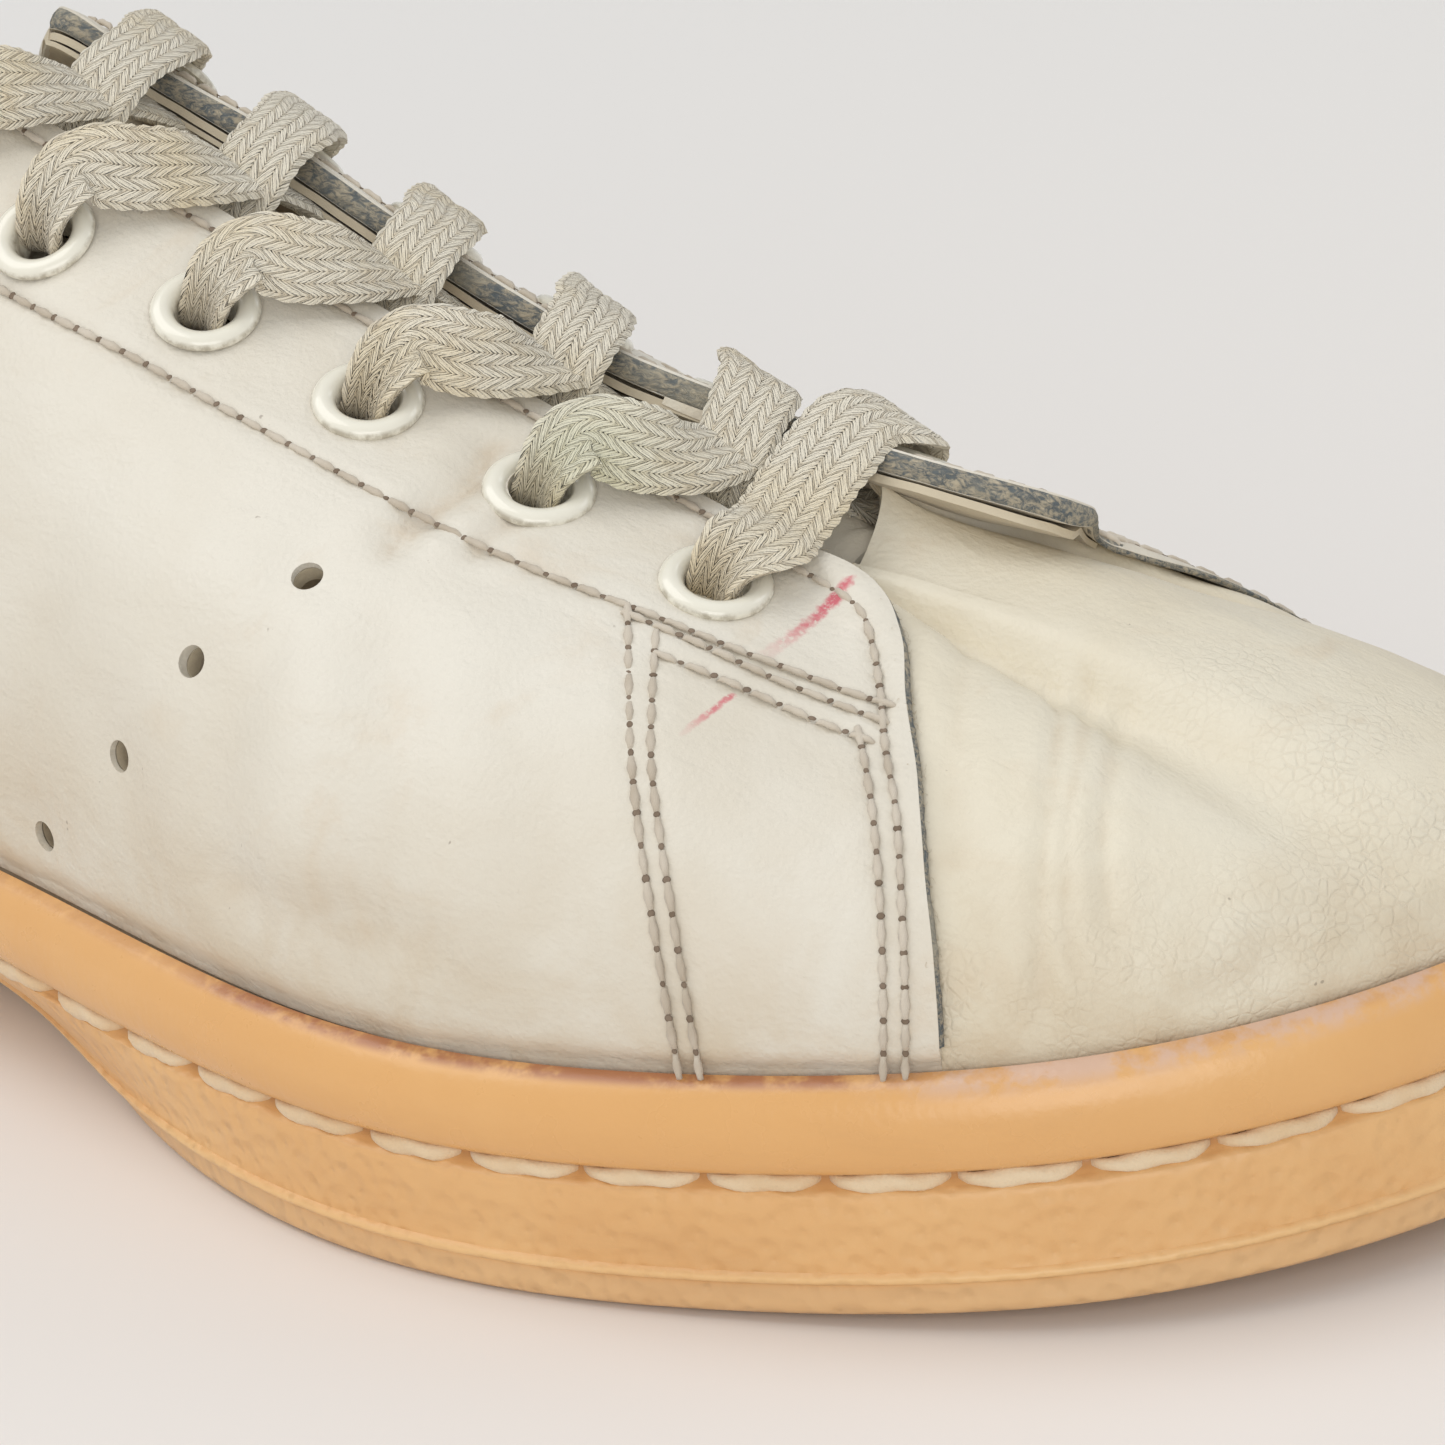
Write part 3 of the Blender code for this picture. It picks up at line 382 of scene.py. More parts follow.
def plan_at(around, inset=0.0):
    """Points of the plan at the given shares round it, moved inward by the inset, and the ways out."""
    around = np.mod(np.asarray(around, float), 2.0)
    step = 0.004
    point = np.column_stack([np.interp(around, PLAN_SHARE, PLAN[:, i]) for i in (0, 1)])
    ahead = np.column_stack([np.interp(np.mod(around + step, 2), PLAN_SHARE, PLAN[:, i]) for i in (0, 1)])
    behind = np.column_stack([np.interp(np.mod(around - step, 2), PLAN_SHARE, PLAN[:, i]) for i in (0, 1)])
    run = ahead - behind
    run = unit(run)
    outward = np.column_stack((run[:, 1], -run[:, 0]))
    return point - outward * np.reshape(inset, (-1, 1)), outward


def smooth(value):
    """Ease from 0 to 1."""
    value = np.clip(value, 0, 1)
    return value * value * (3 - 2 * value)


def toe_spring_at(share):
    """How far the sole has risen towards the toe."""
    return TOE_SPRING * np.clip((share - TOE_SPRING_START) / (1 - TOE_SPRING_START), 0, None) ** 2


def ground_at(x):
    """Height of the sole's underside."""
    share = x / SHOE_LENGTH
    bevel = HEEL_BEVEL * np.clip(1 - share / HEEL_BEVEL_END, 0, None) ** 2
    arch = ARCH_RISE * smooth((share - ARCH_START) / ARCH_EASE) * smooth((ARCH_END - share) / ARCH_EASE)
    return toe_spring_at(share) + bevel + arch


def side_height_at(x):
    """Height of the cup's rim over its length."""
    share = x / SHOE_LENGTH
    toe = TOE_SIDE_RISE * np.clip((share - TOE_RISE_START) / (1 - TOE_RISE_START), 0, None) ** 2
    return SIDE_HEIGHT + toe + HEEL_SIDE_RISE * smooth(1 - share / HEEL_RISE_END)


def floor_at(x):
    """Height of the cup's inner floor."""
    share = x / SHOE_LENGTH
    wedge = smooth((STACK_LOW_START - share) / (STACK_LOW_START - STACK_TOP_END))
    return FOREFOOT_STACK + (HEEL_STACK - FOREFOOT_STACK) * wedge + toe_spring_at(share)


def undercut_at(x, y):
    """How far the waist of the side draws in at the ground."""
    share = x / SHOE_LENGTH
    outer = OUTER_UNDERCUT * np.exp(-((share - OUTER_WAIST) / WAIST_SPREAD) ** 2)
    inner = INNER_UNDERCUT * np.exp(-((share - INNER_WAIST) / WAIST_SPREAD) ** 2)
    return np.where(y < 0, outer, inner)


def throat_axis(x):
    """Sideways place of the throat's middle."""
    return THROAT_SHIFT * smooth(x / (THROAT_END * SHOE_LENGTH))


def section_knots():
    """The upper's sections on both sides as knots, values and slopes of one closed curve."""
    around = column(UPPER, "around")
    edge_x = column(UPPER, "edge_x") * SHOE_LENGTH
    half = column(UPPER, "half") * column(UPPER, "width")
    low, high = column(UPPER, "low"), column(UPPER, "high")
    heights = low + (high - low) * column(UPPER, "level")
    lean = column(UPPER, "lean")
    shape = [column(UPPER, name) for name in ("rise", "reach", "tilt")]
    outer = np.column_stack([edge_x, throat_axis(edge_x) - half, heights, lean, *shape])
    half = column(INNER_EDGE, "half") * column(UPPER, "width")
    heights = heights + column(INNER_EDGE, "lift")
    shape = [column(INNER_EDGE, name) for name in ("rise", "reach", "tilt")]
    inner = np.column_stack([edge_x, throat_axis(edge_x) + half, heights, lean, *shape])
    knots = np.append(around, 2 - around[-2:0:-1])
    values = np.vstack((outer, inner[-2:0:-1]))
    return knots, values, spline_slopes(knots, values, 2.0)


SECTIONS = section_knots()


def section_curve(places):
    """Read the upper's sections at the given places round the shoe."""
    return closed_spline(*SECTIONS, 2.0, places)


def base_surface(around, up):
    """Points of the upper's base skin: up -1 at the feather edge, 0 at the lip, 1 at the top edge."""
    around = np.asarray(around, float)
    up = np.asarray(up, float)
    step = 0.002
    section = section_curve(around)
    edge = section[:, :3]
    run = section_curve(around + step)[:, :3] - section_curve(around - step)[:, :3]
    flat, outward = plan_at(around, CUP_WALL + GAP)
    x = flat[:, 0]
    foot = np.column_stack((flat, side_height_at(x) + GAP))
    feather = np.column_stack((flat, floor_at(x) + GAP))
    lean, rise, reach, tilt = section[:, 3], section[:, 4], section[:, 5], np.radians(section[:, 6])
    lean = np.radians(lean)[:, None]
    span = np.linalg.norm(edge - foot, axis=1)[:, None]
    wall = np.column_stack((outward, np.zeros(len(x)))) * np.sin(lean) + np.array([0, 0, 1.0]) * np.cos(lean)
    run /= np.linalg.norm(run[:, :2], axis=1)[:, None]
    across = np.column_stack((-run[:, 1], run[:, 0], np.zeros(len(x))))
    plan_way = edge[:, :2] - foot[:, :2]
    plan_way = unit(plan_way)
    with_across = np.abs((plan_way * across[:, :2]).sum(axis=1))[:, None]
    with_run = (plan_way * run[:, :2]).sum(axis=1)[:, None]
    tilt = tilt[:, None]
    upright = np.array([0, 0, 1.0])
    top = with_across * (across * np.cos(tilt) + upright * np.sin(tilt)) + with_run * np.cos(tilt) * run
    top = unit(top)
    second = foot + wall * span * rise[:, None]
    third = edge - top * span * reach[:, None]
    t = np.clip(up, 0, 1)[:, None]
    skin = (1 - t) ** 3 * foot + 3 * (1 - t) ** 2 * t * second + 3 * (1 - t) * t ** 2 * third + t ** 3 * edge
    cup = foot + (feather - foot) * np.clip(-up, 0, 1)[:, None]
    return np.where(up[:, None] < 0, cup, skin)


def upper_skin(around, up, proud=0.0):
    """Points of the upper, moved out from the base skin by the given amount, and the outward normals."""
    around = np.asarray(around, float)
    up = np.asarray(up, float)
    step = 0.003
    high = np.minimum(up + step, 1)
    low = np.where(up <= 0, np.minimum(up + step, 0) - 2 * step, up - step)
    high = np.where(up < 0, np.minimum(up + step, 0), high)
    climb = base_surface(around, high) - base_surface(around, low)
    turn = base_surface(around + step, up) - base_surface(around - step, up)
    normal = np.cross(turn, climb)
    normal = unit(normal)
    return base_surface(around, up) + normal * np.reshape(proud, (-1, 1)), normal


def on_side(around, side):
    """The same place on the outer (-1) or the inner side (1)."""
    return around if side < 0 else 2 - around


def near_share(around):
    """Place round the shoe counted from the heel on either side."""
    return 1 - np.abs(1 - np.mod(around, 2))


def facing_skin(near, up, proud, side):
    """The skin of a quarter; the inner one's front corner runs on straight, off the vamp, and curls up."""
    skin, ways = upper_skin(on_side(near, side), up, proud)
    if side < 0:
        return skin, ways
    back = 0.03
    start, out = upper_skin(np.full(len(near), on_side(FLAP_START, 1)), up, proud)
    before = upper_skin(np.full(len(near), on_side(FLAP_START - back, 1)), up, proud)[0]
    reach = np.clip(near - FLAP_START, 0, None)[:, None]
    straight = start + (start - before) / back * reach + out * FLAP_CURL * (reach / 0.09) ** 2
    share = (smooth((near - FLAP_START) / 0.03) * smooth((up - 0.60) / 0.25))[:, None]
    return skin * (1 - share) + straight * share, unit(ways * (1 - share) + out * share)


def quarter_front(ups, side):
    """Place round the shoe of a quarter's front edge; the inner corner reaches less far."""
    places = column(QUARTER_FRONT, "around")[:, None]
    return drawn_back(smooth_run(column(QUARTER_FRONT, "up"), places, np.clip(ups, 0, 1)), side)


def pressed_by(near, up, side):
    """How much less the inner quarter stands proud low down at its front."""
    if side < 0:
        return 0.0
    return 0.6 * QUARTER_FACE * smooth((near - 0.78) / 0.05) * smooth((0.82 - up) / 0.15)


def drawn_back(near, side):
    """Places round the shoe near the front edge, which lies further back on the inner side."""
    return near if side < 0 else near - (1 - FLAP_REACH) * np.clip(near - FLAP_FOOT, 0, None)


def padding_at(around, up):
    """Depth of the padding inside the collar."""
    depth = np.interp(near_share(around), column(PADDING, "around"), column(PADDING, "depth"))
    return COLLAR_PADDING * depth * smooth((up - 0.5) / 0.25) * smooth((1.08 - up) / 0.16)


FACING_UPS = np.linspace(1, 0.3, 141)
FACING_SHARES = np.linspace(0.40, 0.86, 47)


def facing_run(share, side):
    """One line down a facing from the throat's edge: points and lengths along it."""
    skin = base_surface(np.full(len(FACING_UPS), on_side(share, side)), FACING_UPS)
    return skin, run_lengths(skin)


FACING_RUNS = {side: [facing_run(share, side) for share in FACING_SHARES] for side in (-1, 1)}


def facing_point(share, side, inset, proud):
    """A point of the facing at a distance from the throat's edge and its normal."""
    skin, normals = upper_skin(np.full(len(FACING_UPS), on_side(share, side)), FACING_UPS)
    lengths = run_lengths(skin)
    place = np.array([np.interp(inset, lengths, skin[:, i]) for i in range(3)])
    normal = np.array([np.interp(inset, lengths, normals[:, i]) for i in range(3)])
    normal /= np.linalg.norm(normal)
    return place + normal * proud, normal


def facing_share(x, side, inset):
    """Share round the shoe where a point of the facing at this inset has the given place along the shoe."""
    places = [np.interp(inset, lengths, skin[:, 0]) for skin, lengths in FACING_RUNS[side]]
    return float(np.interp(x, places, FACING_SHARES))


def facing_stop(x, side, inset, proud):
    """A point over or under a facing at this place along the shoe."""
    return facing_point(facing_share(x, side, inset), side, inset, proud)


def eyelet_place(number):
    """Place along the shoe of an eyelet, counted from the toe end."""
    return FRONT_EYELET - number * EYELET_PITCH


# Meshes

def new_mesh(name, points, faces, material, sharp=40):
    """Make a smooth-shaded object from points in the heel's frame."""
    mesh = bpy.data.meshes.new(name)
    mesh.from_pydata((np.asarray(points) - ORIGIN).tolist(), [], [tuple(int(i) for i in f) for f in faces])
    mesh.validate()
    mesh.shade_smooth()
    mesh.set_sharp_from_angle(angle=math.radians(sharp))
    mesh.materials.append(material)
    thing = bpy.data.objects.new(name, mesh)
    bpy.context.scene.collection.objects.link(thing)
    return thing


def grid_quads(grid, wrap=False, flip=False):
    """Faces of a grid of point numbers; columns join up if wrapped."""
    right = np.roll(grid, -1, axis=1) if wrap else grid[:, 1:]
    left = grid if wrap else grid[:, :-1]
    quads = np.stack((left[:-1], right[:-1], right[1:], left[1:]), axis=-1).reshape(-1, 4)
    return quads[:, ::-1] if flip else quads


def slab_faces(front, back):
    """Faces of a closed slab between two grids of point numbers, the front one facing out."""
    faces = [grid_quads(front), grid_quads(back, flip=True)]
    for line, other in ((front[0], back[0]), (front[-1][::-1], back[-1][::-1]),
                        (front[::-1, 0], back[::-1, 0]), (front[:, -1], back[:, -1])):
        faces.append(np.stack((line[:-1], other[:-1], other[1:], line[1:]), axis=-1))
    return np.vstack(faces)


def flat_grid(places, ups):
    """Every pair of a place round the shoe and a share of the way up, and the grid's shape."""
    around, up = np.meshgrid(places, ups)
    return around.ravel(), up.ravel(), around.shape


def sheet_mesh(name, face, back, shape, material):
    """A closed sheet between its face and its back."""
    points = np.vstack((face, back))
    grid = np.arange(len(points)).reshape(2, *shape)
    return new_mesh(name, points, slab_faces(grid[0], grid[1]), material)


def rim_quads(faces):
    """Faces as plain tuples with repeated corners dropped."""
    return [tuple(dict.fromkeys(face)) for face in faces.tolist()]


def set_value(thing, name, values):
    """Store one number for each point of a mesh."""
    layer = thing.data.attributes.new(name, "FLOAT", "POINT")
    layer.data.foreach_set("value", np.asarray(values, np.float32))


def set_sheet(thing, places):
    """Store a UV map from one place for each point of a mesh."""
    corners = np.empty(len(thing.data.loops), int)
    thing.data.loops.foreach_get("vertex_index", corners)
    layer = thing.data.uv_layers.new(name="sheet")
    layer.data.foreach_set("uv", np.asarray(places, np.float32)[corners].ravel())


def near_line(points, line):
    """Distance of each point from a line of points, and how far along the line it is."""
    best = np.full(len(points), 9.0)
    along = np.zeros(len(points))
    lengths = run_lengths(line)
    for i in range(len(line) - 1):
        way = line[i + 1] - line[i]
        size = way @ way
        share = np.clip(((points - line[i]) @ way) / size, 0, 1)
        away = np.linalg.norm(points - line[i] - share[:, None] * way, axis=1)
        closer = away < best
        best[closer] = away[closer]
        along[closer] = (lengths[i] + share * math.sqrt(size))[closer]
    return best, along / lengths[-1]


def surface_line(places, side, proud, step=0.002):
    """A line on the upper through places (around, up), with its normals."""
    places = np.array(places, float)
    rough = base_surface(on_side(places[:, 0], side), places[:, 1])
    knots = run_lengths(rough)
    count = max(3, int(knots[-1] / step))
    where = np.linspace(0, knots[-1], count)
    fine = smooth_run(knots, places, where)
    near, up = drawn_back(fine[:, 0], side), fine[:, 1]
    return facing_skin(near, up, proud - pressed_by(near, up, side) * (proud > 0), side)


def soft_noise(points, size, octaves=2, shift=0.0):
    """Smooth noise from -1 to 1 at the given feature size."""
    places = np.asarray(points) / size + shift
    return np.array([noise.fractal(Vector(place), 1.0, 2.0, octaves) for place in places])


# Finishes

class Finish:
    """Wires up one material, from the outside coordinates of the piece to its shader."""

    def __init__(self, name):
        self.material = bpy.data.materials.new(name)
        self.material.use_nodes = True
        self.tree = self.material.node_tree
        self.shader = self.tree.nodes["Principled BSDF"]
        self.place = self.tree.nodes.new("ShaderNodeTexCoord").outputs["Object"]

    def put(self, value, socket):
        """Link a socket or set a plain value."""
        if isinstance(value, bpy.types.NodeSocket):
            self.tree.links.new(value, socket)
        elif socket.type == "RGBA":
            socket.default_value = (*value, 1)
        else:
            socket.default_value = value

    def math(self, kind, first, second=0.5, third=0.5):
        """One step of arithmetic."""
        node = self.tree.nodes.new("ShaderNodeMath")
        node.operation = kind
        for value, socket in zip((first, second, third), node.inputs):
            self.put(value, socket)
        return node.outputs[0]

    def times(self, first, second):
        """The product of two values."""
        return self.math("MULTIPLY", first, second)

    def stain(self, colour, spread, strength, tint):
        """A colour laid over another where a value spreads it, at most this strong."""
        return self.blend(self.times(spread, strength), colour, tint)

    def vector(self, kind, first, second):
        """One step of vector arithmetic; a dot product or a length gives a number."""
        node = self.tree.nodes.new("ShaderNodeVectorMath")
        node.operation = kind
        self.put(first, node.inputs[0])
        self.put(second, node.inputs[1])
        return node.outputs["Value" if kind in ("DOT_PRODUCT", "DISTANCE") else "Vector"]

    def stroke(self, start, end):
        """Distance from the line between two places of the piece, and how far along it, from 0 to 1."""
        run = tuple(b - a for a, b in zip(start, end))
        size = sum(part * part for part in run)
        share = self.vector("DOT_PRODUCT", self.vector("SUBTRACT", self.place, start), run)
        share = self.math("DIVIDE", share, size)
        share = self.math("MINIMUM", self.math("MAXIMUM", share, 0.0), 1.0)
        spread = self.tree.nodes.new("ShaderNodeCombineXYZ")
        for i in range(3):
            self.put(share, spread.inputs[i])
        nearest = self.vector("MULTIPLY", spread.outputs[0], run)
        nearest = self.vector("ADD", nearest, start)
        return self.vector("DISTANCE", self.place, nearest), share

    def stretched(self, scale, turn=(0, 0, 0), start=None):
        """Coordinates scaled and turned."""
        node = self.tree.nodes.new("ShaderNodeMapping")
        self.put(self.place if start is None else start, node.inputs["Vector"])
        node.inputs["Scale"].default_value = scale
        node.inputs["Rotation"].default_value = turn
        return node.outputs["Vector"]

    def noise(self, size, detail=3.0, rough=0.5, warp=0.0, vector=None):
        """Cloudy noise with features of the given size in metres."""
        node = self.tree.nodes.new("ShaderNodeTexNoise")
        self.put(self.place if vector is None else vector, node.inputs["Vector"])
        node.inputs["Scale"].default_value = 1 / size
        node.inputs["Detail"].default_value = detail
        node.inputs["Roughness"].default_value = rough
        node.inputs["Distortion"].default_value = warp
        return node.outputs["Fac"]

    def noise_colour(self, size):
        """Three cloudy noises in one colour, from -0.5 to 0.5, to warp places with."""
        node = self.tree.nodes.new("ShaderNodeTexNoise")
        self.put(self.place, node.inputs["Vector"])
        node.inputs["Scale"].default_value = 1 / size
        return self.vector("SUBTRACT", node.outputs["Color"], (0.5, 0.5, 0.5))

    def cells(self, size, feature="F1", vector=None, random=1.0):
        """Distances in a pattern of cells of the given size in metres."""
        node = self.tree.nodes.new("ShaderNodeTexVoronoi")
        node.feature = feature
        self.put(self.place if vector is None else vector, node.inputs["Vector"])
        node.inputs["Scale"].default_value = 1 / size
        node.inputs["Randomness"].default_value = random
        return node.outputs["Distance"]

    def level(self, value, low, high, start=0.0, end=1.0):
        """Remap a value smoothly between two levels."""
        node = self.tree.nodes.new("ShaderNodeMapRange")
        node.interpolation_type = "SMOOTHSTEP"
        self.put(value, node.inputs["Value"])
        for name, number in (("From Min", low), ("From Max", high), ("To Min", start), ("To Max", end)):
            node.inputs[name].default_value = number
        return node.outputs["Result"]

    def blend(self, factor, first, second, kind="MIX"):
        """Mix two colours."""
        node = self.tree.nodes.new("ShaderNodeMix")
        node.data_type = "RGBA"
        node.blend_type = kind
        self.put(factor, node.inputs["Factor"])
        self.put(first, node.inputs[6])
        self.put(second, node.inputs[7])
        return node.outputs[2]

    def value(self, name):
        """Read a number stored on the mesh."""
        node = self.tree.nodes.new("ShaderNodeAttribute")
        node.attribute_name = name
        return node.outputs["Fac"]

    def sheet(self):
        """Read the piece's own UV map."""
        node = self.tree.nodes.new("ShaderNodeUVMap")
        node.uv_map = "sheet"
        return node.outputs["UV"]

    def axes(self, vector=None):
        """The three parts of a vector."""
        node = self.tree.nodes.new("ShaderNodeSeparateXYZ")
        self.put(self.place if vector is None else vector, node.inputs[0])
        return node.outputs

    def bump(self, height, depth, strength=1.0, after=None):
        """Raise the surface by height times depth in metres."""
        node = self.tree.nodes.new("ShaderNodeBump")
        node.inputs["Strength"].default_value = strength
        node.inputs["Distance"].default_value = depth
        self.put(height, node.inputs["Height"])
        if after is not None:
            self.tree.links.new(after, node.inputs["Normal"])
        return node.outputs["Normal"]

    def finish(self, colour, roughness, normal=None, **uniform):
        """Set the shader and return the material."""
        self.put(colour, self.shader.inputs["Base Color"])
        self.put(roughness, self.shader.inputs["Roughness"])
        if normal is not None:
            self.tree.links.new(normal, self.shader.inputs["Normal"])
        for name, number in uniform.items():
            self.shader.inputs[name.replace("_", " ")].default_value = number
        return self.material


def leather_finish(name, cream, shade, pebble, dirt, pens=(), crackled=True):
    """Worn smooth leather: cream with brown smudges, fine grain, dirt in the creases and along the sole, and
    painted shade on the vamp under the facings' front corners.
    """
    skin = Finish(name)
    clouds = skin.noise(0.045, 4, 0.55, 0.4)
    colour = skin.blend(skin.level(clouds, 0.35, 0.70), cream, shade)
    smudge = skin.level(skin.noise(0.017, 5, 0.62, 0.8), 0.54, 0.80, 0.0, 0.34)
    colour = skin.blend(smudge, colour, (0.60, 0.44, 0.27))
    low = skin.level(skin.axes()[2], 0.050, 0.022, 0.0, dirt)
    low = skin.times(low, skin.level(skin.noise(0.012, 4, 0.6, 0.5), 0.28, 0.72))
    colour = skin.blend(low, colour, (0.55, 0.42, 0.26))
    # The crease value holds real dirt in the creases and painted shade on the vamp under the facings' front
    # corners.
    crease_dirt_and_shade = skin.value("crease_dirt_and_shade")
    ragged = skin.times(crease_dirt_and_shade, skin.level(skin.noise(0.0035, 4, 0.65), 0.25, 0.70))
    colour = skin.stain(colour, ragged, 0.50, (0.47, 0.33, 0.19))
    for start, end, width, strength, streak in pens:
        away, share = skin.stroke(start, end)
        ragged_edge = skin.math("ADD", away, skin.times(skin.noise(0.0009, 3, 0.6), width))
        ink = skin.level(ragged_edge, width * 1.35, width * 0.75)
        gaps = skin.level(skin.noise(0.0010, 4, 0.7), 0.30, 0.30 + streak)
        ink = skin.times(ink, gaps)
        fading = skin.level(share, 1.0, 0.35, 0.15, 1.0)
        ink = skin.times(skin.times(ink, fading), strength)
        colour = skin.blend(ink, colour, (0.62, 0.085, 0.13))
    if crackled:
        sway = skin.vector("MULTIPLY", skin.noise_colour(0.006), (0.0030, 0.0030, 0.0030))
        wander = skin.vector("ADD", skin.place, sway)
        fissure = skin.cells(pebble * 0.95, "DISTANCE_TO_EDGE", vector=wander)
        patches = skin.level(skin.noise(0.011, 3, 0.6), 0.34, 0.62)
        pebbled = skin.times(skin.value("pebble"), patches)
        cracked = skin.times(skin.level(fissure, 0.10, 0.0), pebbled)
        colour = skin.stain(colour, cracked, 0.20, (0.52, 0.41, 0.28))
    specks = skin.level(skin.noise(0.0016, 2, 0.5), 0.765, 0.80)
    colour = skin.stain(colour, specks, 0.6, (0.25, 0.20, 0.15))
    gloss = skin.level(skin.noise(0.010, 4, 0.6), 0.3, 0.7, 0.38, 0.52)
    fine = skin.bump(skin.noise(pebble * 0.42, 4, 0.62), 0.00009, 0.9)
    fine = skin.bump(skin.cells(pebble * 0.7, "F1", random=0.95), 0.00009, 0.6, after=fine)
    if crackled:
        cracks = skin.times(skin.level(fissure, 0.0, 0.20), pebbled)
        fine = skin.bump(cracks, 0.00010, 0.7, after=fine)
    folds = skin.noise(0.0045, 3, 0.55, 0.7, vector=skin.stretched((0.40, 1.0, 1.0), (0, 0.4, 0.5)))
    fine = skin.bump(folds, 0.0007, 0.40, after=fine)
    flexed = skin.noise(0.0026, 3, 0.6, 0.5, vector=skin.stretched((1.0, 0.30, 0.30), (0, 0.25, 0)))
    flexed = skin.times(flexed, skin.value("flex"))
    fine = skin.bump(flexed, 0.0006, 0.6, after=fine)
    return skin.finish(colour, gloss, fine, Specular_IOR_Level=0.42, Coat_Weight=0.12, Coat_Roughness=0.38)


def rubber_finish():
    """Yellowed rubber: glossy lip above the stitches, pebbled band below, dirt and glue along the top."""
    rubber = Finish("aged_rubber")
    share = rubber.value("share")
    clouds = rubber.level(rubber.noise(0.035, 4, 0.55, 0.3), 0.3, 0.7)
    lip = rubber.blend(clouds, (0.76, 0.430, 0.165), (0.72, 0.39, 0.140))
    side = rubber.blend(clouds, (0.78, 0.475, 0.205), (0.71, 0.395, 0.155))
    above = rubber.level(share, 0.58, 0.61)
    colour = rubber.blend(above, side, lip)
    smear = rubber.noise(0.02, 5, 0.6, 0.5, vector=rubber.stretched((0.35, 0.35, 1.6)))
    colour = rubber.blend(rubber.level(smear, 0.55, 0.80, 0.0, 0.35), colour, (0.50, 0.27, 0.11))
    ridge = rubber.times(rubber.level(share, 0.150, 0.170), rubber.level(share, 0.205, 0.185))
    colour = rubber.stain(colour, ridge, 0.6, (0.80, 0.52, 0.24))
    foot = rubber.level(share, 0.16, 0.12)
    colour = rubber.stain(colour, foot, 0.5, (0.70, 0.46, 0.24))
    near = rubber.value("round")
    ragged = rubber.level(rubber.noise(0.005, 4, 0.65), 0.30, 0.55)
    waist = rubber.times(rubber.level(near, 0.56, 0.61), rubber.level(near, 0.83, 0.79))
    glue = rubber.times(rubber.level(share, 0.955, 0.985), ragged)
    film = rubber.times(glue, rubber.level(waist, 0.0, 1.0, 0.25, 0.85))
    colour = rubber.blend(film, colour, (0.36, 0.125, 0.055))
    toe = rubber.times(rubber.level(near, 0.79, 0.83), rubber.level(share, 0.90, 0.975))
    chalky = rubber.times(toe, rubber.level(rubber.noise(0.004, 4, 0.65), 0.36, 0.60))
    colour = rubber.stain(colour, chalky, 0.75, (0.66, 0.46, 0.36))
    # Painted shade: the recessed stitch groove is darkened.
    groove = rubber.times(rubber.level(share, 0.550, 0.575), rubber.level(share, 0.615, 0.598))
    colour = rubber.stain(colour, groove, 0.45, (0.42, 0.20, 0.08))
    pebbled = rubber.level(share, 0.56, 0.53)
    gloss = rubber.level(rubber.noise(0.008, 4, 0.6), 0.3, 0.7, 0.25, 0.36)
    dull = rubber.times(pebbled, 0.16)
    roughness = rubber.math("ADD", gloss, dull)
    pebble = rubber.times(rubber.cells(0.0016, "SMOOTH_F1"), pebbled)
    normal = rubber.bump(pebble, 0.00055, 0.9)
    normal = rubber.bump(rubber.noise(0.0009, 3, 0.5), 0.00006, 0.7, after=normal)
    normal = rubber.bump(rubber.noise(0.0045, 3, 0.5), 0.0005, 0.35, after=normal)
    return rubber.finish(colour, roughness, normal, Specular_IOR_Level=0.5, Coat_Weight=0.22,
                         Coat_Roughness=0.20)


def thread_finish(name, colour, dark, ply):
    """Twisted thread, fuzzy and stained."""
    thread = Finish(name)
    stain = thread.level(thread.noise(0.012, 4, 0.6), 0.35, 0.70)
    mixed = thread.blend(stain, colour, dark)
    normal = thread.bump(thread.noise(ply, 3, 0.6), ply * 0.35, 0.8)
    return thread.finish(mixed, 0.72, normal, Sheen_Weight=0.25)


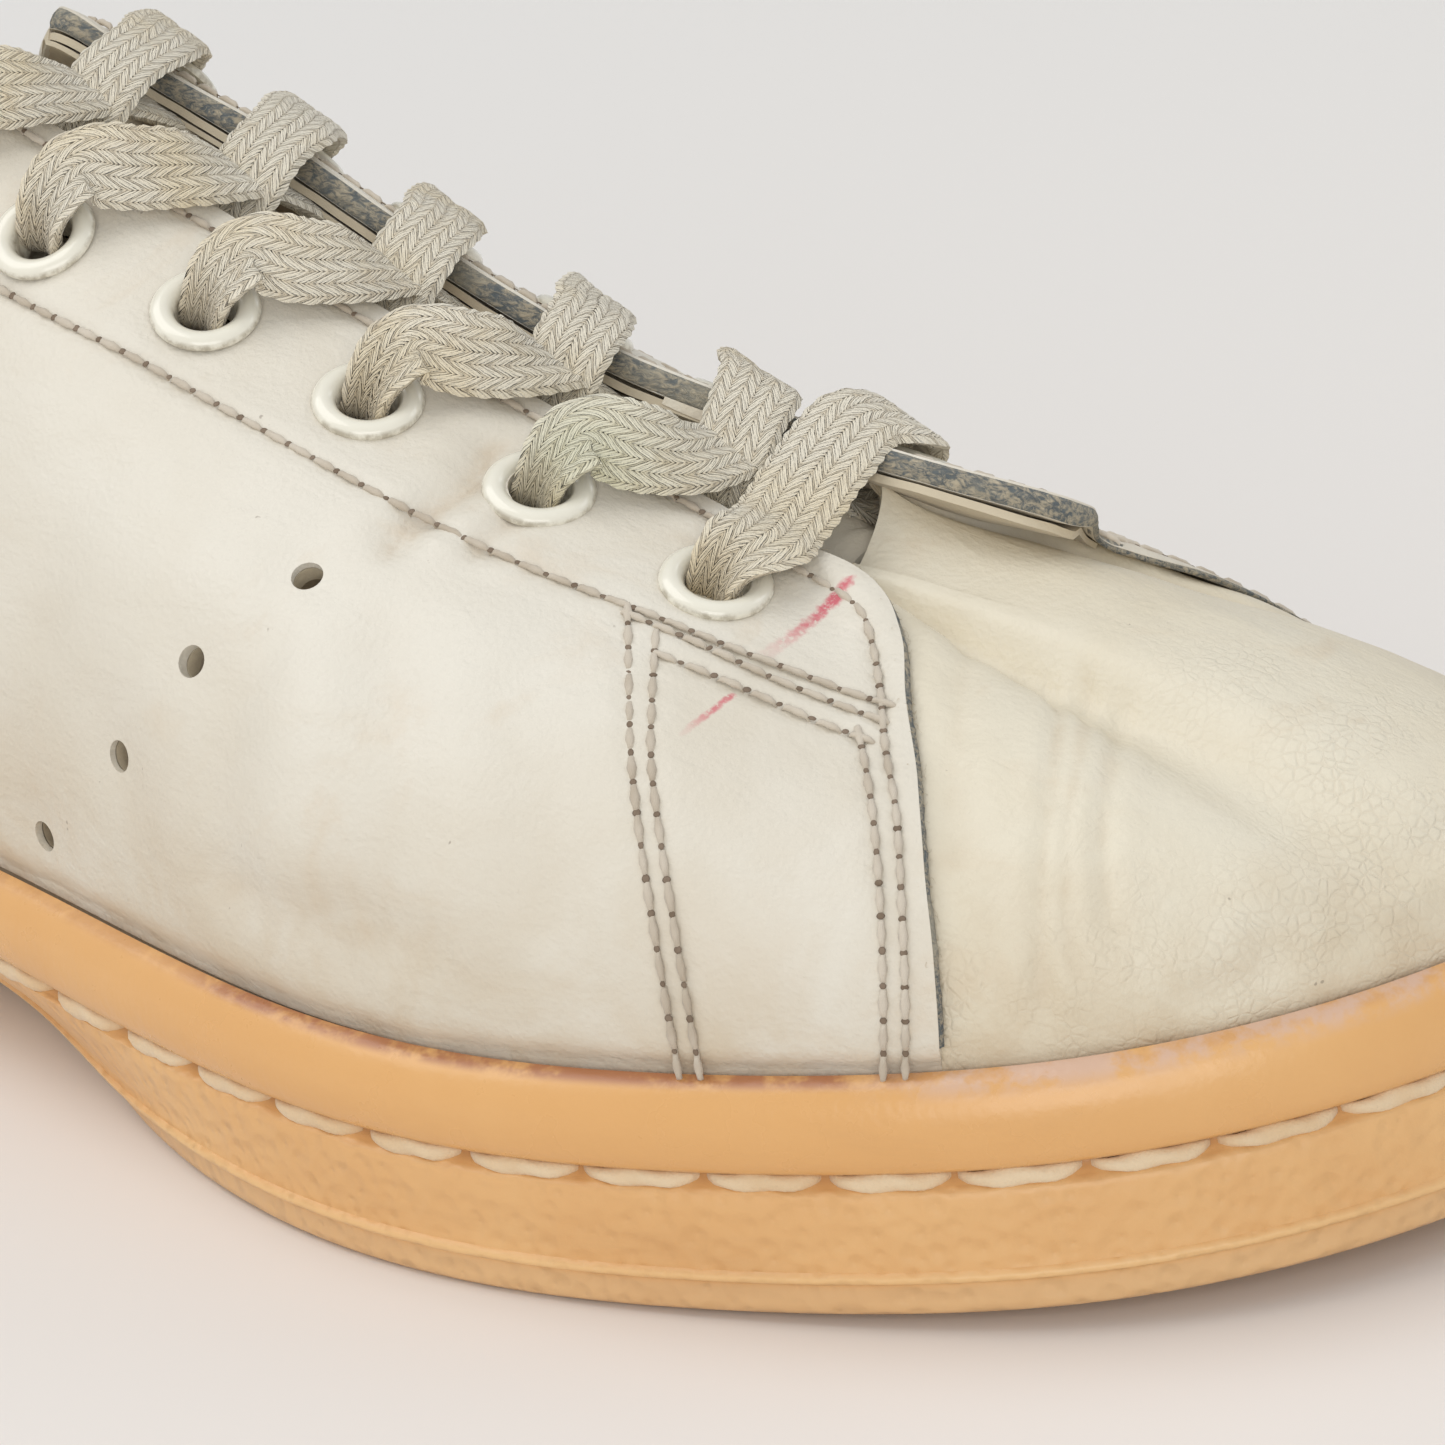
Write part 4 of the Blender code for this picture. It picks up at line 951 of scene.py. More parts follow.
def lace_finish():
    """Flat braided cotton: columns of slanted floats, each of fine yarns, yellowed and stained."""
    cotton = Finish("lace_cotton")
    width_place, length_place, _ = cotton.axes(cotton.sheet())
    place = cotton.math("DIVIDE", width_place, BRAID_COLUMN)
    row = cotton.math("FLOOR", place)
    share = cotton.math("SUBTRACT", place, row)
    parity = cotton.math("FLOORED_MODULO", row, 2.0)
    slant = cotton.math("MULTIPLY_ADD", parity, -2 * BRAID_SLANT, third=BRAID_SLANT)
    phase = cotton.times(slant, cotton.math("SUBTRACT", share, 0.5))
    phase = cotton.math("ADD", phase, cotton.math("DIVIDE", length_place, BRAID_PITCH))
    wobble = cotton.times(cotton.noise(0.0018, 2, 0.5), 0.35)
    phase = cotton.math("ADD", phase, wobble)
    floats = cotton.math("ABSOLUTE", cotton.math("SINE", cotton.times(phase, math.pi)))
    floats = cotton.math("POWER", floats, 0.55)
    columns = cotton.math("POWER", cotton.math("SINE", cotton.times(share, math.pi)), 0.5)
    weave = cotton.times(floats, columns)
    yarns = cotton.math("SINE", cotton.times(phase, 2 * math.pi * 4))
    stain = cotton.level(cotton.noise(0.016, 5, 0.6, 0.4), 0.42, 0.72)
    colour = cotton.blend(stain, (0.82, 0.755, 0.615), (0.80, 0.69, 0.485))
    grime_and_shade = cotton.level(cotton.noise(0.005, 4, 0.6), 0.55, 0.80, 0.0, 0.45)
    colour = cotton.blend(grime_and_shade, colour, (0.50, 0.38, 0.22))
    # Painted shade: the hollows between the braid's floats are darkened.
    colour = cotton.blend(cotton.level(weave, 0.70, 0.05, 0.0, 0.45), colour, (0.50, 0.39, 0.24))
    lint = cotton.level(cotton.noise(0.0003, 2, 0.6), 0.60, 0.75, 0.0, 0.5)
    colour = cotton.blend(lint, colour, (0.85, 0.80, 0.70))
    colour = cotton.blend(cotton.times(cotton.value("green"), 0.42), colour, (0.54, 0.60, 0.33))
    # The lace is darker in and around the eyelet holes.
    colour = cotton.blend(cotton.times(cotton.value("darker_by_eyelets"), 0.45), colour, (0.46, 0.35, 0.20))
    normal = cotton.bump(weave, 0.00042, 0.9)
    normal = cotton.bump(yarns, 0.00006, 0.7, after=normal)
    normal = cotton.bump(cotton.noise(0.00020, 3, 0.7), 0.00012, 0.8, after=normal)
    return cotton.finish(colour, 0.86, normal, Sheen_Weight=0.30, Sheen_Roughness=0.5,
                         Specular_IOR_Level=0.25)


def cut_edge_finish():
    """Raw cut leather: dark blue-grey core with beige fibres."""
    raw = Finish("raw_leather_edge")
    fibres = raw.noise(0.0007, 5, 0.75, 0.8, vector=raw.stretched((0.5, 1.3, 1.3)))
    colour = raw.blend(raw.level(fibres, 0.40, 0.62), (0.125, 0.145, 0.150), (0.50, 0.43, 0.31))
    wear = raw.level(raw.noise(0.009, 4, 0.6), 0.50, 0.72)
    colour = raw.stain(colour, wear, 0.6, (0.50, 0.45, 0.34))
    normal = raw.bump(fibres, 0.0005, 1.0)
    return raw.finish(colour, 0.92, normal, Specular_IOR_Level=0.2, Sheen_Weight=0.2)


def lining_finish():
    """Soft cream lining, worn and darker where the foot rubs, with painted shade darkening it lower down
    inside the shoe.
    """
    soft = Finish("lining_leather")
    rubbed = soft.level(soft.noise(0.03, 4, 0.6, 0.4), 0.35, 0.70)
    colour = soft.blend(rubbed, (0.60, 0.52, 0.38), (0.46, 0.37, 0.25))
    # Painted shade: the lining darkens lower down inside the shoe.
    deep = soft.level(soft.axes()[2], 0.050, 0.018, 0.0, 0.6)
    colour = soft.blend(deep, colour, (0.28, 0.21, 0.13))
    normal = soft.bump(soft.noise(0.0009, 4, 0.6), 0.00018, 0.8)
    return soft.finish(colour, 0.80, normal, Specular_IOR_Level=0.3, Sheen_Weight=0.15)


def footbed_finish():
    """Worn footbed with a darker print under heel and ball."""
    bed = Finish("footbed_leather")
    print_mark = bed.value("print")
    colour = bed.blend(bed.level(bed.noise(0.02, 4, 0.6), 0.3, 0.7), (0.52, 0.44, 0.32), (0.44, 0.35, 0.24))
    colour = bed.stain(colour, print_mark, 0.7, (0.20, 0.15, 0.10))
    normal = bed.bump(bed.noise(0.0007, 4, 0.65), 0.0002, 0.8)
    return bed.finish(colour, 0.78, normal, Specular_IOR_Level=0.3)


def enamel_finish():
    """Pale cream enamel, glossy, chipped and grimy at its edges."""
    enamel = Finish("eyelet_enamel")
    rim = enamel.value("rim")
    colour = enamel.blend(enamel.noise(0.003, 3, 0.5), (0.83, 0.795, 0.680), (0.79, 0.755, 0.640))
    grime_and_shade = enamel.times(rim, enamel.level(enamel.noise(0.0014, 4, 0.6), 0.36, 0.66))
    colour = enamel.stain(colour, grime_and_shade, 0.65, (0.30, 0.25, 0.17))
    chips = enamel.level(enamel.noise(0.0019, 4, 0.7), 0.735, 0.755)
    colour = enamel.blend(chips, colour, (0.34, 0.28, 0.20))
    return enamel.finish(colour, 0.17, enamel.bump(chips, -0.0001, 0.6), Coat_Weight=0.4, Coat_Roughness=0.10)


def plain_finish(name, colour, dark, roughness):
    """A small plain part with light wear."""
    part = Finish(name)
    mixed = part.blend(part.level(part.noise(0.004, 4, 0.6), 0.35, 0.7), colour, dark)
    return part.finish(mixed, roughness, part.bump(part.noise(0.0006, 3, 0.6), 0.0001, 0.6))


# Folds of the quarters: side, points (around, up), depth, width, dirt
CREASES = (
    (-1, ((0.722, 0.930), (0.707, 0.895), (0.694, 0.800), (0.679, 0.733), (0.667, 0.665), (0.659, 0.605)),
     0.0009, 0.0020, 0.95),
    (-1, ((0.731, 0.870), (0.716, 0.800), (0.702, 0.735), (0.690, 0.660)), 0.0005, 0.0016, 0.50),
    (-1, ((0.659, 0.600), (0.668, 0.450), (0.671, 0.305), (0.657, 0.180), (0.641, 0.075), (0.629, 0.010)),
     0.0009, 0.0042, 0.12),
    (-1, ((0.640, 0.520), (0.622, 0.440), (0.608, 0.330), (0.604, 0.200), (0.612, 0.080)),
     0.0007, 0.0038, 0.10),
    (-1, ((0.700, 0.560), (0.712, 0.420), (0.716, 0.270), (0.708, 0.120)), 0.0006, 0.0045, 0.08),
    (-1, ((0.690, 0.150), (0.655, 0.120), (0.615, 0.115), (0.580, 0.130)), 0.0006, 0.0030, 0.30),
    (-1, ((0.560, 0.640), (0.535, 0.520), (0.520, 0.400), (0.512, 0.260)), 0.0005, 0.0050, 0.05),
    (1, ((0.700, 0.860), (0.688, 0.740), (0.676, 0.620), (0.668, 0.480), (0.664, 0.330)),
     0.0008, 0.0026, 0.60),
    (1, ((0.668, 0.500), (0.690, 0.360), (0.698, 0.210), (0.690, 0.080)), 0.0008, 0.0042, 0.12),
    (1, ((0.560, 0.560), (0.548, 0.420), (0.545, 0.280), (0.552, 0.140)), 0.0006, 0.0046, 0.08),
    (1, ((0.150, 0.420), (0.210, 0.360), (0.270, 0.350), (0.330, 0.390)), 0.0006, 0.0040, 0.12),
    (-1, ((0.120, 0.380), (0.180, 0.330), (0.250, 0.340), (0.310, 0.400)), 0.0006, 0.0040, 0.12),
)

# Red pen marks of the outer quarter: points (around, up), half width, strength, how broken
PEN_MARKS = (
    ((0.877, 0.910), (0.795, 0.719), 0.00120, 0.92, 0.22),
    ((0.780, 0.616), (0.762, 0.515), 0.00060, 0.75, 0.18),
)


def skin_spot(place, side, proud):
    """Place of a mark on the upper in the object's own coordinates."""
    spot = upper_skin([on_side(place[0], side)], [place[1]], proud)[0][0] - ORIGIN
    return tuple(float(part) for part in spot)


def crease_relief(points, creases, side, proud):
    """Depth of the listed creases at the points, with soft puffed edges, and the dirt in them."""
    relief = np.zeros(len(points))
    dirt = np.zeros(len(points))
    for crease_side, places, depth, width, stain in creases:
        if crease_side != side:
            continue
        line, _ = surface_line(places, side, proud, 0.004)
        away, along = near_line(points, line)
        ease = smooth(along / 0.2) * smooth((1 - along) / 0.2)
        trough = np.exp(-(away / width) ** 2)
        puff = np.exp(-((away - 2.2 * width) / (1.3 * width)) ** 2)
        relief += depth * ease * (0.45 * puff - trough)
        dirt = np.maximum(dirt, stain * ease * np.exp(-(away / (0.55 * width)) ** 2))
    return relief, dirt


def quarter_rows(side):
    """Every thread row of a quarter as lines on its face, with their normals."""
    rows = []
    for _, places in SEAM_ROWS:
        rows.append(surface_line(places, side, QUARTER_FACE + THREAD_LIFT, 0.0015))
    for inset, start, end, count in TOP_ROWS:
        edge = [facing_point(share, side, inset, QUARTER_FACE + THREAD_LIFT)
                for share in np.linspace(start, end, count)]
        rows.append((np.array([spot for spot, _ in edge]), np.array([way for _, way in edge])))
    return rows


def tab_rows():
    """Thread rows just inside the edges of the heel tab."""
    half = (TAB_WIDTH / 2 - TAB_SEAM) / HALF_ROUND
    low = 1 - (TAB_DROP - TAB_SEAM) / HEEL_HEIGHT
    high = 1 - TAB_SEAM / HEEL_HEIGHT
    proud = QUARTER_FACE + TAB_THICKNESS + THREAD_LIFT
    corners = ((-half, high), (-half, low), (half, low), (half, high))
    rows = []
    for start, end in zip(corners, corners[1:]):
        around, up = (np.linspace(start[i], end[i], 30) for i in (0, 1))
        rows.append(upper_skin(around, up, proud))
    return rows


def make_quarter(side, label, material, rows):
    """One quarter: a leather sheet over vamp and lining, its front corner rounded, seams drawn in."""
    ups = -0.05 + 1.05 * (1 - (1 - np.linspace(0, 1, 104)) ** 1.5)
    shares = np.linspace(0, 1, 250) ** 0.92
    front = quarter_front(ups, side)
    around = on_side(shares[None, :] * front, side)
    up = np.repeat(ups[:, None], len(shares), axis=1)
    if side > 0:
        around = around[:, ::-1]
    shape = around.shape
    around, up = around.ravel(), up.ravel()
    near = near_share(around)
    lift = (QUARTER_FACE - pressed_by(near, up, side)) * smooth(up / 0.035)
    face, normals = facing_skin(near, up, lift, side)
    relief, dirt = crease_relief(face, CREASES, side, QUARTER_FACE)
    for line, _ in rows:
        away, _ = near_line(face, line)
        relief -= 0.00022 * np.exp(-(away / 0.0008) ** 2) - 0.00008 * np.exp(-((away - 0.0018) / 0.001) ** 2)
    for vent_around, vent_up in VENTS:
        spot = upper_skin([on_side(vent_around, side)], [vent_up], QUARTER_FACE)[0][0]
        away = np.linalg.norm(face - spot, axis=1)
        relief -= 0.0006 * np.exp(-(away / 0.0045) ** 2)
    relief += 0.00035 * soft_noise(face, 0.022) * smooth(up / 0.1)
    if side < 0:
        relief += 0.0007 * smooth((near - 0.80) / 0.10) * smooth((up - 0.60) / 0.35)
    face = face + normals * relief[:, None]
    throat = smooth((up - 0.93) / 0.05) * smooth((near - 0.40) / 0.03)
    if side > 0:
        throat = np.maximum(throat, smooth((up - 0.78) / 0.12) * smooth((near - 0.80) / 0.03))
    back = facing_skin(near, up, 0.00005 - EDGE_CORE * throat, side)[0]
    quarter = sheet_mesh(f"quarter_{label}", face, back, shape, material)
    set_value(quarter, "crease_dirt_and_shade", np.append(dirt, dirt))
    low = smooth((0.35 - up) / 0.3) * 0.5
    set_value(quarter, "pebble", np.append(low, low))
    flex = np.exp(-((near - 0.68) / 0.05) ** 2) * smooth((0.75 - up) / 0.3) * 0.35
    set_value(quarter, "flex", np.append(flex, flex))
    order = slice(None) if side < 0 else slice(None, None, -1)
    top = np.flatnonzero(shares * front[-1, 0] > FACING_START)
    rims = []
    for sheet in (face.reshape(*shape, 3)[:, order], back.reshape(*shape, 3)[:, order]):
        down = sheet[::-1, -1][1:-6]
        rims.append(np.vstack((sheet[-1, top], down)))
    return quarter, rims


def make_raw_edge(label, rims, material):
    """The raw cut edge of a quarter, along the throat and down its front: a rough, rounded strip."""
    face, back = rims
    run = unit(np.gradient(face, axis=0))
    out = unit(np.cross(run, face - back))
    if (out[5] @ np.array([0.0, 0.0, 1.0])) < 0:
        out = -out
    steps = np.linspace(0.10, 0.985, 9)
    rough = soft_noise(face, 0.0016, 3)
    rows = []
    for step in steps:
        swell = math.sin(math.pi * step)
        fray = 0.00016 * soft_noise(face + step * 0.01, 0.0011, 3) * swell
        rows.append(face + (back - face) * step + out * (0.00034 * swell + fray + 0.00003 * rough)[:, None])
    rows.append(back - out * 0.0006 + (face - back) * 0.05)
    rows.append(face - out * 0.0006 + (back - face) * 0.12)
    points = np.vstack(rows)
    grid = np.arange(len(points)).reshape(len(rows), -1)
    faces = grid_quads(np.vstack((grid, grid[:1]))).tolist()
    faces += [tuple(grid[::-1, 0]), tuple(grid[:, -1])]
    edge = new_mesh(f"raw_edge_{label}", points, faces, material, sharp=180)
    set_value(edge, "depth", np.repeat(np.append(steps, (1.0, 0.0)), len(face)))
    return edge


def make_facing_lining(side, label, material):
    """The thin lining layer under a facing, seen as a pale strip below the raw edge."""
    ups = np.linspace(0.70, 0.997, 26)
    shares = np.linspace(FACING_START, 1, 170)
    front = quarter_front(ups, side) - 0.004
    near = FACING_START + (front - FACING_START) * (shares[None, :] - FACING_START) / (1 - FACING_START)
    up = np.repeat(ups[:, None], len(shares), axis=1)
    if side > 0:
        near = near[:, ::-1]
    shape = near.shape
    near, up = near.ravel(), up.ravel()
    deep = EDGE_CORE * smooth((up - (0.93 if side < 0 else 0.80)) / 0.05)
    droop = 0.00016 * soft_noise(np.column_stack((near * 0.3, up * 0.1, near * 0)), 0.008)
    face = facing_skin(near, up, -deep - 0.00022 + droop, side)[0]
    back = facing_skin(near, up, -deep - 0.00100 + droop, side)[0]
    return sheet_mesh(f"facing_lining_{label}", face, back, shape, material)


# Folds of the vamp over the toe joint: points (around, up), depth, width, dirt
VAMP_CREASES = (
    (((0.849, 0.030), (0.853, 0.199), (0.867, 0.375), (0.899, 0.550), (0.969, 0.741)), 0.00042, 0.0009, 0.50),
    (((0.861, 0.100), (0.861, 0.190), (0.874, 0.371), (0.908, 0.542), (0.985, 0.709)), 0.00034, 0.0008, 0.42),
    (((0.872, 0.180), (0.886, 0.371), (0.920, 0.530), (0.975, 0.640)), 0.00036, 0.0010, 0.30),
    (((0.838, 0.330), (0.846, 0.480), (0.866, 0.620), (0.905, 0.740), (0.960, 0.820)), 0.00036, 0.0016, 0.20),
    (((0.905, 0.140), (0.945, 0.180), (0.985, 0.215), (1.020, 0.200)), 0.00040, 0.0022, 0.10),
    (((0.880, 0.060), (0.910, 0.090), (0.950, 0.100), (0.990, 0.085)), 0.00036, 0.0016, 0.25),
)


def make_vamp(material):
    """The toe piece: one sheet from under one quarter over the toe to under the other."""
    ups = -0.05 + 1.05 * (1 - (1 - np.linspace(0, 1, 100)) ** 1.25)
    places = np.linspace(0.755, 1.245, 230)
    around, up, shape = flat_grid(places, ups)
    face, normals = upper_skin(around, up, 0.0)
    dirt = np.zeros(len(face))
    relief = 0.00030 * soft_noise(face, 0.016, 3) * smooth(up / 0.08)
    for line_places, depth, width, stain in VAMP_CREASES:
        line, _ = surface_line(line_places, -1, 0.0, 0.004)
        away, along = near_line(face, line)
        wobble = away + 0.0006 * soft_noise(face, 0.006)
        ease = smooth(along / 0.12) * smooth((1 - along) / 0.12)
        relief += depth * ease * (0.5 * np.exp(-((away - 2.2 * width) / (1.4 * width)) ** 2)
                                  - np.exp(-(wobble / width) ** 2))
        dirt = np.maximum(dirt, stain * ease * np.exp(-(wobble / (0.5 * width)) ** 2))
    room = vamp_room(around, up)
    face = face + normals * (relief - room)[:, None]
    back = upper_skin(around, up, -0.0010 - room)[0]
    vamp = sheet_mesh("vamp", face, back, shape, material)
    near = near_share(around)
    # Painted shade: the vamp is darkened where it lies under the front corners of the facings, the inner one
    # lifted off it; it rides in the crease value.
    grime_and_shade = np.exp(-((near - 0.80) / 0.055) ** 2) * smooth((up - 0.80) / 0.2)
    dirt = np.maximum(dirt, 0.85 * grime_and_shade)
    set_value(vamp, "crease_dirt_and_shade", np.append(dirt, dirt))
    toe = smooth((near - 0.93) / 0.06) * smooth((0.75 - up) / 0.3)
    rough = np.clip(smooth((0.45 - up) / 0.35) + toe, 0, 1)
    set_value(vamp, "pebble", np.append(rough, rough))
    joint = 0.875 + 0.09 * smooth((up - 0.35) / 0.4)
    flex = np.exp(-((near - joint) / 0.026) ** 2) * smooth((0.85 - up) / 0.2)
    set_value(vamp, "flex", np.append(flex, flex))
    return vamp


def vamp_room(around, up):
    """How far the vamp lies lower beneath the lifted corner of the inner facing."""
    inner = np.mod(around, 2) > 1
    return FLAP_ROOM * inner * smooth((near_share(around) - 0.72) / 0.05) * smooth((up - 0.80) / 0.15)


def make_lining(material):
    """The lining: the inner skin of the whole upper down to its feather edge."""
    ups = np.concatenate((np.linspace(-1, 0, 8)[:-1], np.linspace(0, 1, 52)))
    places = np.arange(260) * 2 / 260
    around, up, shape = flat_grid(places, ups)
    near = near_share(around)
    throat = smooth((up - 0.90) / 0.05)
    vamp = smooth((near - 0.745) / 0.005)
    throat = throat * smooth((near - 0.42) / 0.01)
    sunk = (EDGE_CORE + 0.0011) * throat * (1 - vamp) + vamp_room(around, up)
    outer = upper_skin(around, up, -0.00010 - 0.0010 * vamp - sunk)[0]
    inner = upper_skin(around, up, LINING_FACE - padding_at(around, up) - sunk * 0.45)[0]
    points = np.vstack((outer, inner))
    grid = np.arange(len(points)).reshape(2, *shape)
    faces = [grid_quads(grid[0], wrap=True), grid_quads(grid[1], wrap=True, flip=True),
             grid_quads(np.stack((grid[0, -1], grid[1, -1])), wrap=True),
             grid_quads(np.stack((grid[1, 0], grid[0, 0])), wrap=True)]
    return new_mesh("lining", points, np.vstack(faces), material)


def make_collar_roll(material):
    """The folded top edge of the collar, from one facing round the heel to the other."""
    places = np.linspace(-FACING_START, FACING_START, 220)
    turns = np.linspace(0, math.pi, 11)
    edge, out = upper_skin(places, np.ones(len(places)), 0.0)
    below = upper_skin(places, np.full(len(places), 0.97), 0.0)[0]
    climb = edge - below
    climb = unit(climb)
    depth = -LINING_FACE + padding_at(places, np.ones(len(places)))
    ease = smooth((FACING_START - np.abs(places)) / 0.04)
    rows = []
    for turn in turns:
        across = (QUARTER_FACE - depth) / 2 + (QUARTER_FACE + depth + 0.0003) / 2 * math.cos(turn)
        rise = (0.0004 + 0.0017 * ease) * math.sin(turn) - 0.0006
        rows.append(edge + out * across[:, None] + climb * rise[:, None])
    rows.append(edge - climb * 0.0024 - out * (depth * 0.8)[:, None])
    rows.append(edge - climb * 0.0024 + out * QUARTER_FACE * 0.7)
    grid = np.arange(len(places) * len(rows)).reshape(len(rows), -1)
    faces = grid_quads(np.vstack((grid, grid[:1]))).tolist()
    faces += [tuple(grid[::-1, 0]), tuple(grid[:, -1])]
    roll = new_mesh("collar_roll", np.vstack(rows), faces, material)
    set_value(roll, "pebble", np.full(len(roll.data.vertices), 0.4))
    return roll


def make_heel_tab(material):
    """The plain patch sewn over the top of the heel."""
    across = np.linspace(-1, 1, 60) * TAB_WIDTH / 2
    ups = np.linspace(0, 1, 40)
    low = 1 - TAB_DROP / HEEL_HEIGHT * (1 - ups)
    around, up, shape = flat_grid(across / HALF_ROUND, low)
    sides = 1 - np.maximum(np.abs(np.linspace(-1, 1, 60))[None, :] ** 10, (1 - ups)[:, None] ** 10)
    proud = QUARTER_FACE + TAB_GAP + TAB_THICKNESS * np.sqrt(np.clip(sides, 0.05, 1)).ravel()
    face = upper_skin(around, up, proud)[0]
    back = upper_skin(around, up, QUARTER_FACE)[0]
    tab = sheet_mesh("heel_tab_leather", face, back, shape, material)
    set_value(tab, "pebble", np.full(len(tab.data.vertices), 0.3))
    return tab


def ring_at(around, inset, height):
    """One ring of the plan at an inset, with its own heights."""
    flat, _ = plan_at(around, inset)
    return np.column_stack((flat, height))


def make_sole(material):
    """The rubber cup: pebbled side, ridge, stitch groove, rounded lip, inner wall, and tread lugs below."""
    count = 640
    around = np.arange(count) * 2 / count
    flat, _ = plan_at(around)
    x, y = flat[:, 0], flat[:, 1]
    low, rim = ground_at(x), side_height_at(x)
    rings = []
    shares = []
    for share, out in SOLE_SIDE[1:]:
        draw = undercut_at(x, y) * max(0.0, 1 - share / GROOVE_SHARE)
        rings.append(ring_at(around, draw - out, low + (rim - low) * share))
        shares.append(share)
    for drop in (0.0006, 0.0040):
        rings.append(ring_at(around, np.full(count, CUP_WALL), rim - drop))
        shares.append(1.0)
    rings.append(ring_at(around, np.full(count, CUP_WALL), floor_at(x)))
    shares.append(1.0)
    points = np.vstack(rings)
    tags = np.repeat(shares, count)
    grid = np.arange(len(points)).reshape(len(rings), count)
    faces = grid_quads(grid, wrap=True).tolist()
    half = count // 2
    near = grid[-1][:half + 1]
    far = np.append(grid[-1][0], grid[-1][:half - 1:-1])
    faces += rim_quads(grid_quads(np.stack((near, far))))
    steps = 44
    near = rings[0][:half + 1]
    far = np.vstack((rings[0][:1], rings[0][:half - 1:-1]))
    across = np.linspace(0, 1, steps + 1)[1:-1]
    inside = near[1:-1, None, :] * (1 - across[None, :, None]) + far[1:-1, None, :] * across[None, :, None]
    spots = inside.reshape(-1, 3)
    length = np.linalg.norm(far[1:-1] - near[1:-1], axis=1)[:, None]
    rim_way = np.minimum(across[None, :], 1 - across[None, :]) * length
    share = spots[:, 0] / SHOE_LENGTH
    slots = np.zeros(len(spots))
    for first, last in (HEEL_TREAD, FOREFOOT_TREAD):
        number = int((last - first) * SHOE_LENGTH / TREAD_PITCH)
        start = first * SHOE_LENGTH
        within = (spots[:, 0] > start) & (spots[:, 0] < start + number * TREAD_PITCH)
        phase = np.abs(np.mod(spots[:, 0] - start, TREAD_PITCH) - TREAD_PITCH / 2)
        slots = np.maximum(slots, within * (phase < TREAD_SLOT / 2))
    slots *= rim_way.ravel() > TREAD_RIM
    spots[:, 2] = ground_at(spots[:, 0]) + slots * TREAD_DEPTH
    base = len(points)
    points = np.vstack((points, spots))
    tags = np.append(tags, np.zeros(len(spots)))
    middle = base + np.arange(len(spots)).reshape(half - 1, steps - 1)
    rows = [np.concatenate(([grid[0][i]], middle[i - 1], [grid[0][count - i]])) for i in range(1, half)]
    under = np.array(rows)
    faces += grid_quads(under).tolist()
    for end, tip in ((under[0][::-1], grid[0][0]), (under[-1], grid[0][half])):
        faces += [(tip, end[j + 1], end[j]) for j in range(steps)]
    sole = new_mesh("rubber_cup", points, faces, material, sharp=50)
    set_value(sole, "share", tags)
    outline_share = near_share(np.tile(around, len(rings)))
    set_value(sole, "round", np.append(outline_share, np.zeros(len(points) - len(outline_share))))
    return sole


def make_footbed(material):
    """The insole, dished and printed by the foot."""
    count = 240
    around = np.arange(count) * 2 / count
    inset = np.full(count, CUP_WALL - LINING_FACE + 3 * GAP)
    x = plan_at(around, inset)[0][:, 0]
    half = count // 2
    rings = [ring_at(around, inset, floor_at(x) + GAP + INSOLE_THICKNESS * rise) for rise in (0, 0.85)]
    rings.append(ring_at(around, inset + 0.0006, floor_at(x) + GAP + INSOLE_THICKNESS))
    points = np.vstack(rings)
    grid = np.arange(len(points)).reshape(3, count)
    faces = grid_quads(grid, wrap=True).tolist()
    near = grid[0][:half + 1]
    far = np.append(grid[0][0], grid[0][:half - 1:-1])
    faces += rim_quads(grid_quads(np.stack((near, far)), flip=True))
    steps = 30
    across = np.linspace(0, 1, steps + 1)[1:-1]
    top = rings[2]
    inside = (top[1:half, None, :] * (1 - across[None, :, None])
              + top[:half:-1][:, None, :] * across[None, :, None])
    spots = inside.reshape(-1, 3)
    share = spots[:, 0] / SHOE_LENGTH
    middle_y = np.repeat((top[1:half, 1] + top[:half:-1][:, 1]) / 2, steps - 1)
    mark = (np.exp(-((share - 0.13) / 0.085) ** 2 - ((spots[:, 1] - middle_y) / 0.024) ** 2)
            + np.exp(-((share - 0.70) / 0.10) ** 2 - ((spots[:, 1] - middle_y) / 0.034) ** 2)
            + 0.7 * np.exp(-((share - 0.90) / 0.035) ** 2 - ((spots[:, 1] - middle_y) / 0.026) ** 2))
    spots[:, 2] = floor_at(spots[:, 0]) + GAP + INSOLE_THICKNESS - 0.0012 * mark
    base = len(points)
    points = np.vstack((points, spots))
    middle = base + np.arange(len(spots)).reshape(half - 1, steps - 1)
    rows = [np.concatenate(([grid[2][i]], middle[i - 1], [grid[2][count - i]])) for i in range(1, half)]
    over = np.array(rows)
    faces += grid_quads(over, flip=True).tolist()
    for end, tip in ((over[0], grid[2][0]), (over[-1][::-1], grid[2][half])):
        faces += [(tip, end[j + 1], end[j]) for j in range(steps)]
    bed = new_mesh("footbed", points, faces, material)
    set_value(bed, "print", np.append(np.zeros(base), np.clip(mark, 0, 1)))
    return bed


